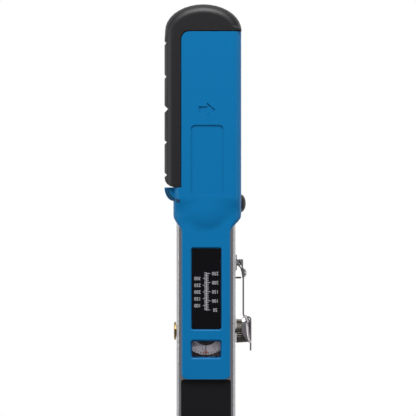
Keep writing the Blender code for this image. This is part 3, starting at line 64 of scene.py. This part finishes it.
def newMaterial(name, colour, roughness, metallic=0.0):
    material = bpy.data.materials.new(name)
    material.use_nodes = True
    material.diffuse_color = linearColour(colour)
    shader = material.node_tree.nodes["Principled BSDF"]
    shader.inputs["Base Color"].default_value = linearColour(colour)
    shader.inputs["Roughness"].default_value = roughness
    shader.inputs["Metallic"].default_value = metallic
    return material, material.node_tree, shader


def addGrain(tree, shader, size, stretch, strength, depth, low, high):
    coords = addNode(tree, "ShaderNodeTexCoord", (-1100, 0))
    mapping = addNode(tree, "ShaderNodeMapping", (-900, 0), Scale=stretch)
    noise = addNode(tree, "ShaderNodeTexNoise", (-700, 0), Scale=size, Detail=5.0)
    spread = addNode(tree, "ShaderNodeMapRange", (-450, 100))
    spread.inputs["To Min"].default_value = low
    spread.inputs["To Max"].default_value = high
    bump = addNode(tree, "ShaderNodeBump", (-450, -200), Strength=strength, Distance=depth)
    tree.links.new(coords.outputs["Object"], mapping.inputs["Vector"])
    tree.links.new(mapping.outputs["Vector"], noise.inputs["Vector"])
    tree.links.new(noise.outputs["Fac"], spread.inputs["Value"])
    tree.links.new(noise.outputs["Fac"], bump.inputs["Height"])
    tree.links.new(spread.outputs["Result"], shader.inputs["Roughness"])
    tree.links.new(bump.outputs["Normal"], shader.inputs["Normal"])


# satin ABS of the handle shells, with the slight waviness of moulding
blueAbs, tree, shader = newMaterial("blueAbs", "#0070aa", 0.4)
shader.inputs["Specular IOR Level"].default_value = 0.22
addGrain(tree, shader, size=260.0, stretch=(1, 1, 1), strength=0.08, depth=0.00006, low=0.34, high=0.44)

# thermoplastic rubber of the boot, with its spark-eroded grain
bootRubber, tree, shader = newMaterial("bootRubber", "#121014", 0.5)
addGrain(tree, shader, size=1500.0, stretch=(1, 1, 1), strength=0.22, depth=0.00005, low=0.38, high=0.52)

# polished chrome vanadium channel, faintly drawn along its length
polishedSteel, tree, shader = newMaterial("polishedSteel", "#cfcdd0", 0.16, 1.0)
addGrain(tree, shader, size=900.0, stretch=(1, 0.02, 1), strength=0.05, depth=0.00002, low=0.12, high=0.24)

# satin chrome of the ratchet head
satinChrome, tree, shader = newMaterial("satinChrome", "#c9c8cb", 0.3, 1.0)
addGrain(tree, shader, size=700.0, stretch=(1, 1, 1), strength=0.05, depth=0.00002, low=0.26, high=0.38)

# hardened tool steel of the beams, gears and square drive
toolSteel, tree, shader = newMaterial("toolSteel", "#8f8c8b", 0.34, 1.0)
addGrain(tree, shader, size=1200.0, stretch=(1, 0.1, 1), strength=0.06, depth=0.00002, low=0.28, high=0.44)

# blackened steel of the knob, pins, screws and reverse lever
blackedSteel, tree, shader = newMaterial("blackedSteel", "#5c5853", 0.42, 1.0)
addGrain(tree, shader, size=1400.0, stretch=(1, 1, 1), strength=0.08, depth=0.00002, low=0.36, high=0.5)

# bright spring steel of the lock lever
springSteel, tree, shader = newMaterial("springSteel", "#bdb8bc", 0.22, 1.0)
addGrain(tree, shader, size=900.0, stretch=(0.2, 1, 0.2), strength=0.05, depth=0.00002, low=0.18, high=0.3)

# turned brass of the bushes, bearings, nut and dial gears
brassMetal, tree, shader = newMaterial("brassMetal", "#8f7a52", 0.34, 1.0)
addGrain(tree, shader, size=900.0, stretch=(1, 1, 1), strength=0.04, depth=0.00002, low=0.24, high=0.38)

# black enamelled strip let into the channel's face
blackInlay, tree, shader = newMaterial("blackInlay", "#0d0a0e", 0.5)
shader.inputs["Specular IOR Level"].default_value = 0.25
addGrain(tree, shader, size=1800.0, stretch=(1, 1, 1), strength=0.1, depth=0.00003, low=0.42, high=0.58)

# satin black label stock
blackLabel, tree, shader = newMaterial("blackLabel", "#08070c", 0.4)
shader.inputs["Specular IOR Level"].default_value = 0.15

# printed grey dial card
dialGrey, tree, shader = newMaterial("dialGrey", "#c4bbc4", 0.6)

# dark disc of the dial, and the dark strip of painted shade beyond its rim
dialDark, tree, shader = newMaterial("dialDark", "#221c1e", 0.6)

# pale print of the label's scale
paleInk, tree, shader = newMaterial("paleInk", "#c8c8cc", 0.6)

# black print on the dial and black reading line
blackInk, tree, shader = newMaterial("blackInk", "#161318", 0.6)

# orange marks beside the reading line
orangeInk, tree, shader = newMaterial("orangeInk", "#b96a3c", 0.6)

# clear plastic of the window, bending light less than the real one so that the dial stays readable
clearPlastic, tree, shader = newMaterial("clearPlastic", "#ffffff", 0.03)
shader.inputs["Transmission Weight"].default_value = 1.0
shader.inputs["IOR"].default_value = 1.2
print("materials made")

# of the nodes not named here, those with a dark word in their name are blackened and the rest tool steel
materialOf = {
    "channel_housing": polishedSteel,
    "face_inlay": blackInlay,
    "handle_front_shell": blueAbs,
    "handle_back_shell": blueAbs,
    "grip_rubber": bootRubber,
    "end_cap": bootRubber,
    "thumb_bumper": bootRubber,
    "label_plate": blackLabel,
    "dial_disc": dialDark,
    "lock_lever": springSteel,
    "ratchet_head": satinChrome,
    "head_cover": satinChrome,
    "reverse_lever": blackedSteel,
    "shaft_bush_left": brassMetal,
    "shaft_bush_right": brassMetal,
    "lead_nut": brassMetal,
    "screw_bearing_front": brassMetal,
    "screw_bearing_rear": brassMetal,
    "dial_crown_gear": brassMetal,
    "dial_pinion": brassMetal,
    "dial_lens": clearPlastic,
    "lever_rivet": springSteel,
    "latch_bracket": polishedSteel,
    "dial_post": polishedSteel,
    "detent_ball": polishedSteel,
    "drive_washer": polishedSteel,
    "dial_clip": polishedSteel,
    "lead_screw": toolSteel,
}
darkNodes = ("screw", "pin", "rivet", "knob")
for name, node in frame["nodes"].items():
    material = materialOf.get(name)
    if material is None:
        material = blackedSteel if any(word in name for word in darkNodes) else toolSteel
    node.data.materials.clear()
    node.data.materials.append(material)


def pickOnly(obj):
    bpy.ops.object.select_all(action="DESELECT")
    obj.select_set(True)
    bpy.context.view_layer.objects.active = obj


def bodyOf(nodeName):
    for bodyName, nodeNames in frame["record"]["behaviour"]["bodies"].items():
        if nodeName in nodeNames:
            return bodyName
    return "root"


# rims of the label's recess and the dial's window: left, right, low and high of each, and the lowest z
windows = {
    "areas": (
        (-10.4 * mm, 10.8 * mm, 381.2 * mm, 434.6 * mm),
        (-10.4 * mm, 10.6 * mm, 362.6 * mm, 375.4 * mm),
    ),
    "above": 42.9 * mm,
    "round": 0.95 * mm,
    "segments": 4,
}


def softenWindows(piece):
    bpy.ops.object.mode_set(mode="EDIT")
    bpy.ops.mesh.select_all(action="DESELECT")
    bpy.ops.mesh.select_mode(type="EDGE")
    shape = bmesh.from_edit_mesh(piece.data)
    for edge in shape.edges:
        ends = [vert.co for vert in edge.verts]
        for left, right, low, high in windows["areas"]:
            if all(left < q.x < right and low < q.y < high and q.z > windows["above"] for q in ends):
                edge.select_set(True)
    bmesh.update_edit_mesh(piece.data)
    bpy.ops.mesh.bevel(offset=windows["round"], segments=windows["segments"], profile=0.5)
    bpy.ops.object.mode_set(mode="OBJECT")


# weld distance in metres, angles in degrees
softening = {
    "weld": 0.000002,
    "flatAngle": 0.5,
    "cornerAngle": 30,
    "smoothAngle": 35,
    "segments": 2,
    "weight": 90,
}


def roundedCopy(nodeName, width):
    source = frame["nodes"][nodeName]
    piece = bpy.data.objects.new(nodeName + "Rounded", source.data.copy())
    bpy.context.scene.collection.objects.link(piece)
    piece.matrix_world = source.matrix_world
    pickOnly(piece)
    bpy.ops.object.transform_apply(location=True, rotation=True, scale=True)
    bpy.ops.object.mode_set(mode="EDIT")
    bpy.ops.mesh.select_all(action="SELECT")
    bpy.ops.mesh.remove_doubles(threshold=softening["weld"])
    bpy.ops.mesh.dissolve_limited(angle_limit=math.radians(softening["flatAngle"]))
    bpy.ops.object.mode_set(mode="OBJECT")
    if nodeName == "handle_front_shell":
        softenWindows(piece)
    if width:
        bevel = piece.modifiers.new("softEdges", "BEVEL")
        bevel.width = width
        bevel.segments = softening["segments"]
        bevel.limit_method = "ANGLE"
        bevel.angle_limit = math.radians(softening["cornerAngle"])
        bevel.harden_normals = False
        bpy.ops.object.modifier_apply(modifier=bevel.name)
    bpy.ops.object.shade_smooth_by_angle(angle=math.radians(softening["smoothAngle"]))
    even = piece.modifiers.new("evenShading", "WEIGHTED_NORMAL")
    even.weight = softening["weight"]
    even.keep_sharp = True
    bpy.ops.object.modifier_apply(modifier=even.name)
    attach(piece, bodyOf(nodeName))
    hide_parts(nodeName)
    return piece


# width of the rounding on the edges of each copy, where 0 leaves them sharp
edgeWidths = {
    "channel_housing": 0.35 * mm,
    "face_inlay": 0.15 * mm,
    "handle_front_shell": 0.5 * mm,
    "handle_back_shell": 0.3 * mm,
    "grip_rubber": 0.3 * mm,
    "end_cap": 0.0,
    "lock_lever": 0.15 * mm,
    "latch_bracket": 0.15 * mm,
    "ratchet_head": 0.6 * mm,
    "head_cover": 0.2 * mm,
    "drive_gear": 0.3 * mm,
    "reverse_lever": 0.3 * mm,
    "beam_yoke": 0.4 * mm,
    "pivot_pin": 0.2 * mm,
    "flex_pin": 0.2 * mm,
}
rounded = {name: roundedCopy(name, width) for name, width in edgeWidths.items()}
print("rounded copies made")


def finishPiece(piece, name, material, body):
    piece.name = name
    pickOnly(piece)
    bpy.ops.object.transform_apply(location=True, rotation=True, scale=True)
    piece.data.materials.clear()
    piece.data.materials.append(material)
    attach(piece, body)
    return piece


def meshPiece(name, build):
    shape = bmesh.new()
    build(shape)
    bmesh.ops.recalc_face_normals(shape, faces=shape.faces[:])
    mesh = bpy.data.meshes.new(name)
    shape.to_mesh(mesh)
    shape.free()
    piece = bpy.data.objects.new(name, mesh)
    bpy.context.scene.collection.objects.link(piece)
    return piece


def joinRings(shape, rings):
    for first, second in zip(rings, rings[1:]):
        for i in range(len(first)):
            j = (i + 1) % len(first)
            shape.faces.new((first[i], first[j], second[j], second[i]))
    shape.faces.new(rings[0])
    shape.faces.new(rings[-1])


def addBar(shape, centre, size, turn=0.0):
    place = Matrix.Translation(centre) @ Matrix.Rotation(turn, 4, "Z") @ Matrix.Diagonal((*size, 1.0))
    bmesh.ops.create_cube(shape, size=1.0, matrix=place)


# letter spacing and width against the font's own, and thickness of the ink
lettering = {"spacing": 1.06, "narrow": 0.86, "thick": 0.04 * mm}


def printedNumber(text, place, height, turn):
    bpy.ops.object.text_add(location=place, rotation=(0, 0, turn))
    number = bpy.context.active_object
    number.data.body = text
    number.data.align_x = "CENTER"
    number.data.align_y = "CENTER"
    number.data.size = height
    number.data.space_character = lettering["spacing"]
    number.data.extrude = lettering["thick"] / 2
    number.scale.x = lettering["narrow"]
    pickOnly(number)
    bpy.ops.object.convert(target="MESH")
    return bpy.context.active_object


def joinPieces(pieces):
    bpy.ops.object.select_all(action="DESELECT")
    for piece in pieces:
        piece.select_set(True)
    bpy.context.view_layer.objects.active = pieces[0]
    bpy.ops.object.join()
    return bpy.context.active_object


# grey card on the dial disc, with a tick every 5 and a number every 25 lb-ft
dialPrint = {
    "centreY": 380.3 * mm,
    "top": 38.6 * mm,
    "card": 0.06 * mm,
    "ink": 0.04 * mm,
    "innerRadius": 8.9 * mm,
    "outerRadius": 15.0 * mm,
    "degreesPerPoundFoot": 1.4,
    "restReading": 70,
    "ticksAt": range(40, 255, 5),
    "numbersAt": range(50, 275, 25),
    "longEvery": 25,
    "tickEnd": 14.75 * mm,
    "tickLength": 1.3 * mm,
    "longTick": 1.9 * mm,
    "tickWidth": 0.42 * mm,
    "numberRadius": 11.3 * mm,
    "maskRadius": 15.3 * mm,
    "maskLevel": 39.1 * mm,
    "maskThick": 0.15 * mm,
    "maskHalf": 11.0 * mm,
    "maskSteps": 44,
    "maskBelow": 1.4 * mm,
    "cardSteps": 120,
    "cardLift": 0.01 * mm,
    "numberHeight": 2.7 * mm,
}


def dialCard(shape):
    steps = dialPrint["cardSteps"]
    rings = []
    for radius in (dialPrint["innerRadius"], dialPrint["outerRadius"]):
        for level in (dialPrint["top"] + dialPrint["cardLift"], dialPrint["top"] + dialPrint["card"]):
            ring = []
            for i in range(steps):
                angle = math.tau * i / steps
                x = radius * math.cos(angle)
                y = dialPrint["centreY"] + radius * math.sin(angle)
                ring.append(shape.verts.new((x, y, level)))
            rings.append(ring)
    for first, second in ((0, 1), (1, 3), (3, 2), (2, 0)):
        for i in range(steps):
            j = (i + 1) % steps
            shape.faces.new((rings[first][i], rings[first][j], rings[second][j], rings[second][i]))


finishPiece(meshPiece("dialCard", dialCard), "dialCard", dialGrey, "dial")


def readingAngle(reading):
    return math.radians(-90 - dialPrint["degreesPerPoundFoot"] * (reading - dialPrint["restReading"]))


def dialTicks(shape):
    level = dialPrint["top"] + dialPrint["card"] + dialPrint["ink"] / 2
    for reading in dialPrint["ticksAt"]:
        angle = readingAngle(reading)
        length = dialPrint["tickLength"] if reading % dialPrint["longEvery"] else dialPrint["longTick"]
        middle = dialPrint["tickEnd"] - length / 2
        place = (middle * math.cos(angle), dialPrint["centreY"] + middle * math.sin(angle), level)
        addBar(shape, place, (length, dialPrint["tickWidth"], dialPrint["ink"]), angle)


dialInk = [meshPiece("dialTicks", dialTicks)]
for reading in dialPrint["numbersAt"]:
    angle = readingAngle(reading)
    reach = dialPrint["numberRadius"]
    level = dialPrint["top"] + dialPrint["card"] + dialPrint["ink"] / 2
    place = (reach * math.cos(angle), dialPrint["centreY"] + reach * math.sin(angle), level)
    dialInk.append(printedNumber(str(reading), place, dialPrint["numberHeight"], angle - math.pi / 2))
finishPiece(joinPieces(dialInk), "dialFigures", blackInk, "dial")

# reading line over the dial with its wedge at the far end and two orange marks
hairline = {
    "width": 0.5 * mm,
    "thick": 0.1 * mm,
    "far": 363.8 * mm,
    "near": 374.1 * mm,
    "level": 40.2 * mm,
    "wedge": 2.2 * mm,
    "markX": 0.75 * mm,
    "markY": 367.0 * mm,
    "markSize": (0.7 * mm, 1.3 * mm, 0.1 * mm),
}


def readingLine(shape):
    middle = (hairline["far"] + hairline["near"]) / 2
    span = hairline["near"] - hairline["far"]
    addBar(shape, (0, middle, hairline["level"]), (hairline["width"], span, hairline["thick"]))
    half = hairline["wedge"] / 2
    corners = [(-half, hairline["far"]), (half, hairline["far"]), (0, hairline["far"] + hairline["wedge"])]
    low = [shape.verts.new((x, y, hairline["level"] - hairline["thick"] / 2)) for x, y in corners]
    high = [shape.verts.new((x, y, hairline["level"] + hairline["thick"] / 2)) for x, y in corners]
    shape.faces.new(low)
    shape.faces.new(high)
    for i in range(3):
        shape.faces.new((low[i], low[i - 1], high[i - 1], high[i]))


finishPiece(meshPiece("readingLine", readingLine), "readingLine", blackInk, "housing")


def pointerMarks(shape):
    for side in (-1, 1):
        place = (side * hairline["markX"], hairline["markY"], hairline["level"])
        addBar(shape, place, hairline["markSize"])


finishPiece(meshPiece("pointerMarks", pointerMarks), "pointerMarks", orangeInk, "housing")


# dark strip beyond the dial's rim: painted shade standing in for the shaded inside of the handle, which
# the window doesn't show
def dialMask(shape):
    low = hairline["far"] - dialPrint["maskBelow"]
    under = dialPrint["maskLevel"]
    over = under + dialPrint["maskThick"]
    rows = []
    for i in range(dialPrint["maskSteps"] + 1):
        x = dialPrint["maskHalf"] * (2 * i / dialPrint["maskSteps"] - 1)
        rim = dialPrint["centreY"] - math.sqrt(dialPrint["maskRadius"] ** 2 - x * x)
        corners = ((x, low, under), (x, rim, under), (x, rim, over), (x, low, over))
        rows.append([shape.verts.new(corner) for corner in corners])
    joinRings(shape, rows)


# the strip is painted shade, dark in place of the handle's shaded inside
finishPiece(meshPiece("dialMask", dialMask), "dialMask", dialDark, "housing")
print("dial printed")

# conversion scale on the label, lb-ft on one side of the spine and newton metres on the other
labelPrint = {
    "level": 42.62 * mm,
    "thick": 0.04 * mm,
    "poundX": 5.9 * mm,
    "newtonX": -5.4 * mm,
    "height": 3.1 * mm,
    "spineX": 0.45 * mm,
    "poundLow": 394.2 * mm,
    "poundStep": 5.83 * mm,
    "newtonLow": 397.0 * mm,
    "newtonStep": 4.35 * mm,
    "scaleLow": 393.6 * mm,
    "scaleHigh": 417.9 * mm,
    "line": 0.3 * mm,
    "poundTick": 1.2 * mm,
    "poundLong": 2.2 * mm,
    "newtonTick": 1.5 * mm,
    "newtonLong": 2.4 * mm,
    "numberEvery": 5,
    "poundTicks": range(21),
    "newtonTicks": range(-3, 25),
}
labelInk = []
for i, text in enumerate(("50", "100", "150", "200", "250")):
    y = labelPrint["poundLow"] + i * labelPrint["poundStep"]
    place = (labelPrint["poundX"], y, labelPrint["level"])
    labelInk.append(printedNumber(text, place, labelPrint["height"], math.pi))
for i, text in enumerate(("100", "150", "200", "250", "300")):
    y = labelPrint["newtonLow"] + i * labelPrint["newtonStep"]
    place = (labelPrint["newtonX"], y, labelPrint["level"])
    labelInk.append(printedNumber(text, place, labelPrint["height"], math.pi))


def scaleTicks(shape):
    level = labelPrint["level"]
    spine = labelPrint["spineX"]
    line = labelPrint["line"]
    thick = labelPrint["thick"]
    low, high = labelPrint["scaleLow"], labelPrint["scaleHigh"]
    addBar(shape, (spine, (low + high) / 2, level), (line, high - low, thick))
    every = labelPrint["numberEvery"]
    for i in labelPrint["poundTicks"]:
        length = labelPrint["poundTick"] if i % every else labelPrint["poundLong"]
        y = labelPrint["poundLow"] + i * labelPrint["poundStep"] / every
        addBar(shape, (spine + length / 2, y, level), (length, line, thick))
    for i in labelPrint["newtonTicks"]:
        length = labelPrint["newtonTick"] if i % every else labelPrint["newtonLong"]
        y = labelPrint["newtonLow"] + i * labelPrint["newtonStep"] / every
        if low <= y <= high:
            addBar(shape, (spine - length / 2, y, level), (length, line, thick))


labelInk.append(meshPiece("scaleTicks", scaleTicks))
finishPiece(joinPieces(labelInk), "conversionScale", paleInk, "housing")
print("label printed")

# thumb cup of the lock lever: each station has y, left x, right x and half height in mm
hood = {
    "midZ": 28.0 * mm,
    "facets": 24,
    "acrossPower": 0.55,
    "risePower": 0.75,
    "thick": 0.5 * mm,
    "smoothAngle": 50,
    "stations": (
        (390.4, 25.3, 26.2, 4.5),
        (389.4, 24.3, 26.9, 6.6),
        (388.0, 23.5, 27.7, 8.1),
        (386.4, 23.0, 28.3, 8.8),
        (384.0, 22.9, 28.8, 9.1),
        (381.4, 22.9, 29.1, 9.2),
        (379.4, 23.1, 29.15, 9.2),
        (377.4, 24.1, 29.18, 9.1),
        (375.6, 25.3, 29.18, 8.9),
        (374.0, 26.6, 29.18, 8.6),
        (372.8, 28.0, 29.15, 8.0),
    ),
}


def thumbHood(shape):
    rows = []
    for y, left, right, half in hood["stations"]:
        row = []
        for i in range(hood["facets"] + 1):
            angle = math.pi / 2 - math.pi * i / hood["facets"]
            across = abs(math.cos(angle)) ** hood["acrossPower"]
            rise = math.copysign(abs(math.sin(angle)) ** hood["risePower"], math.sin(angle))
            x = left + (right - left) * across
            row.append(shape.verts.new((x * mm, y * mm, hood["midZ"] + half * rise * mm)))
        rows.append(row)
    for first, second in zip(rows, rows[1:]):
        for i in range(hood["facets"]):
            shape.faces.new((first[i], first[i + 1], second[i + 1], second[i]))


piece = meshPiece("thumbHood", thumbHood)
wall = piece.modifiers.new("sheet", "SOLIDIFY")
wall.thickness = hood["thick"]
wall.offset = -1.0
pickOnly(piece)
bpy.ops.object.modifier_apply(modifier=wall.name)
finishPiece(piece, "thumbHood", springSteel, "latch")
bpy.ops.object.shade_smooth_by_angle(angle=math.radians(hood["smoothAngle"]))

# domed head of the lever's rivet, half a flattened ball
rivetCap = {
    "x": 23.2 * mm,
    "y": 417.6 * mm,
    "z": 28.0 * mm,
    "radius": 3.1 * mm,
    "rise": 3.0 * mm,
    "sides": 32,
    "rings": 16,
    "smoothAngle": 40,
}


def domedHead(shape):
    place = Matrix.Translation((rivetCap["x"], rivetCap["y"], rivetCap["z"]))
    place = place @ Matrix.Rotation(math.pi / 2, 4, "Y")
    place = place @ Matrix.Diagonal((rivetCap["radius"], rivetCap["radius"], rivetCap["rise"], 1.0))
    sides, rings = rivetCap["sides"], rivetCap["rings"]
    bmesh.ops.create_uvsphere(shape, u_segments=sides, v_segments=rings, radius=1.0, matrix=place)
    cutPlane = (rivetCap["x"], 0, 0)
    facing = (-1, 0, 0)
    whole = shape.verts[:] + shape.edges[:] + shape.faces[:]
    done = bmesh.ops.bisect_plane(shape, geom=whole, plane_co=cutPlane, plane_no=facing, clear_outer=True)
    rim = [edge for edge in done["geom_cut"] if isinstance(edge, bmesh.types.BMEdge)]
    bmesh.ops.holes_fill(shape, edges=rim)


finishPiece(meshPiece("rivetCap", domedHead), "rivetCap", blackedSteel, "latch")
bpy.ops.object.shade_smooth_by_angle(angle=math.radians(rivetCap["smoothAngle"]))

# curled strip on the handle's side of the rivet, its path in x and y in mm, and the bar on the other side
leverLoop = {
    "thick": 0.8 * mm,
    "low": 21.0 * mm,
    "high": 35.0 * mm,
    "path": ((19.6, 423.0), (20.8, 422.6), (21.9, 421.6), (22.7, 420.2), (23.1, 418.6)),
    "bar": (20.9 * mm, 414.6 * mm, 28.0 * mm),
    "barSize": (3.4 * mm, 0.9 * mm, 12.0 * mm),
}


def loopAndBar(shape):
    path = [Vector((x * mm, y * mm, 0)) for x, y in leverLoop["path"]]
    rows = []
    for i, spot in enumerate(path):
        along = (path[min(i + 1, len(path) - 1)] - path[max(i - 1, 0)]).normalized()
        side = Vector((along.y, -along.x, 0)) * leverLoop["thick"] / 2
        corners = (spot - side, spot + side)
        low = [Vector((q.x, q.y, leverLoop["low"])) for q in corners]
        high = [Vector((q.x, q.y, leverLoop["high"])) for q in corners]
        rows.append([shape.verts.new(q) for q in (low[0], low[1], high[1], high[0])])
    joinRings(shape, rows)
    addBar(shape, leverLoop["bar"], leverLoop["barSize"])


finishPiece(meshPiece("leverLoop", loopAndBar), "leverLoop", blackedSteel, "latch")

# ribbed rubber dome in place of the plain thumb bumper
bumper = {
    "centre": Vector((22.2 * mm, 462.4 * mm, 28.0 * mm)),
    "radius": 5.8 * mm,
    "rise": 3.4 * mm,
    "rib": 0.22 * mm,
    "ribs": 6,
    "rings": 40,
    "sides": 48,
    "crown": 0.97,
    "smoothAngle": 40,
}


def ribbedDome(shape):
    rows = []
    for i in range(bumper["rings"] + 1):
        share = i / bumper["rings"]
        slope = share * math.pi / 2 * bumper["crown"]
        radius = bumper["radius"] * math.cos(slope)
        wave = max(0.0, math.cos(share * bumper["ribs"] * math.tau))
        ridge = bumper["rib"] * wave * math.cos(share * math.pi / 2)
        x = bumper["rise"] * math.sin(slope) + ridge
        row = []
        for j in range(bumper["sides"]):
            angle = math.tau * j / bumper["sides"]
            spot = Vector((x, radius * math.cos(angle), radius * math.sin(angle)))
            row.append(shape.verts.new(bumper["centre"] + spot))
        rows.append(row)
    joinRings(shape, rows)


piece = meshPiece("ribbedBumper", ribbedDome)
piece = finishPiece(piece, "ribbedBumper", bootRubber, "housing")
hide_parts("thumb_bumper")
bpy.ops.object.shade_smooth_by_angle(angle=math.radians(bumper["smoothAngle"]))
print("lever and bumper made")

# two curved stripes laid on the front shell's finger guard, from the first to the last degree
guard = {
    "centreX": -16.4 * mm,
    "centreY": 472.4 * mm,
    "radii": (8.1 * mm, 9.3 * mm),
    "width": 0.75 * mm,
    "first": 184,
    "last": 268,
    "lift": 0.05 * mm,
    "sink": 0.25 * mm,
    "above": 28.3 * mm,
    "step": 3,
    "rayFrom": 0.1,
}


def surfaceHeight(shell, x, y):
    hit = shell.ray_cast(Vector((x, y, guard["rayFrom"])), Vector((0, 0, -1)))[0]
    return hit.z if hit else None


def addStripe(shape, shell, radius):
    rows = []
    for degrees in range(guard["first"], guard["last"] + 1, guard["step"]):
        angle = math.radians(degrees)
        row = []
        for reach in (radius - guard["width"] / 2, radius + guard["width"] / 2):
            x = guard["centreX"] + reach * math.cos(angle)
            y = guard["centreY"] + reach * math.sin(angle)
            z = surfaceHeight(shell, x, y)
            row.append(Vector((x, y, z)) if z is not None and z > guard["above"] else None)
        if all(row):
            rows.append(row)
    rings = []
    for inner, outer in rows:
        up = Vector((0, 0, guard["lift"]))
        down = Vector((0, 0, -guard["sink"]))
        rings.append([shape.verts.new(q) for q in (inner + down, outer + down, outer + up, inner + up)])
    joinRings(shape, rings)


def guardStripes(shape):
    shell = BVHTree.FromObject(rounded["handle_front_shell"], bpy.context.evaluated_depsgraph_get())
    for radius in guard["radii"]:
        addStripe(shape, shell, radius)


finishPiece(meshPiece("guardStripes", guardStripes), "guardStripes", bootRubber, "housing")
print("guard striped")

# camera square on to the reading face, and a floor just under the square drive and the handle's end
studio = {
    "focusX": 1.3 * mm,
    "focusY": 459.4 * mm,
    "focusZ": 43.0 * mm,
    "distance": 2.218,
    "lens": 300.0,
    "sensor": 36.0,
    "seesTo": 20.0,
    "floorGap": 0.2 * mm,
    "floorSize": 30.0,
    "restHigh": 11.0 * mm,
    "restFrom": -6.35 * mm,
    "restTo": 572.7 * mm,
    "lampAim": (0, 0.4, 0.03),
    "airColour": (0.9, 0.92, 0.95, 1),
    "airStrength": 0.22,
}
camera = bpy.data.objects.new("camera", bpy.data.cameras.new("camera"))
bpy.context.scene.collection.objects.link(camera)
camera.data.lens = studio["lens"]
camera.data.sensor_width = studio["sensor"]
camera.data.clip_end = studio["seesTo"]
camera.location = (studio["focusX"], studio["focusY"], studio["focusZ"] + studio["distance"])
bpy.context.scene.camera = camera

bpy.ops.mesh.primitive_plane_add(size=studio["floorSize"])
floor = bpy.context.active_object
floor.name = "floor"
tilt = math.atan2(studio["restHigh"], studio["restTo"] - studio["restFrom"])
floor.data.transform(Matrix.Rotation(tilt, 4, "X") @ Matrix.Translation((0, 0, -studio["floorGap"])))
floor.data.transform(Matrix.Translation((0, studio["restFrom"], 0)))

# matt pale sweep that the camera, mirrors and the clear window see as pure white
paper, tree, shader = newMaterial("paper", "#e8e8ea", 0.9)
output = tree.nodes["Material Output"]
path = addNode(tree, "ShaderNodeLightPath", (-600, 300))
seen = addNode(tree, "ShaderNodeMath", (-400, 300), operation="MAXIMUM")
either = addNode(tree, "ShaderNodeMath", (-200, 300), operation="MAXIMUM")
white = addNode(tree, "ShaderNodeEmission", (-200, 0), Strength=1.0)
mix = addNode(tree, "ShaderNodeMixShader", (100, 200))
tree.links.new(path.outputs["Is Camera Ray"], seen.inputs[0])
tree.links.new(path.outputs["Is Glossy Ray"], seen.inputs[1])
tree.links.new(seen.outputs[0], either.inputs[0])
tree.links.new(path.outputs["Is Transmission Ray"], either.inputs[1])
tree.links.new(either.outputs[0], mix.inputs["Fac"])
tree.links.new(shader.outputs[0], mix.inputs[1])
tree.links.new(white.outputs[0], mix.inputs[2])
tree.links.new(mix.outputs[0], output.inputs["Surface"])
floor.data.materials.append(paper)

# each lamp has its place, width in metres and power in watts
lamps = (
    ("topSoftbox", (0.0, 2.2, 1.3), 1.2, 50.0),
    ("leftSoftbox", (-1.8, 0.7, 1.2), 1.0, 10.0),
    ("rightSoftbox", (1.8, 0.5, 1.2), 1.0, 5.0),
    ("lowFill", (0.0, -1.7, 1.3), 1.2, 1.0),
)
for name, place, size, power in lamps:
    light = bpy.data.lights.new(name, "AREA")
    light.size = size
    light.energy = power
    lamp = bpy.data.objects.new(name, light)
    bpy.context.scene.collection.objects.link(lamp)
    lamp.location = place
    aim = Vector(studio["lampAim"]) - Vector(place)
    lamp.rotation_euler = aim.to_track_quat("-Z", "Y").to_euler()
world = bpy.data.worlds.new("studioAir")
world.use_nodes = True
background = world.node_tree.nodes["Background"]
background.inputs["Color"].default_value = studio["airColour"]
background.inputs["Strength"].default_value = studio["airStrength"]
bpy.context.scene.world = world
bpy.context.scene.view_settings.view_transform = "Standard"
print("studio set")
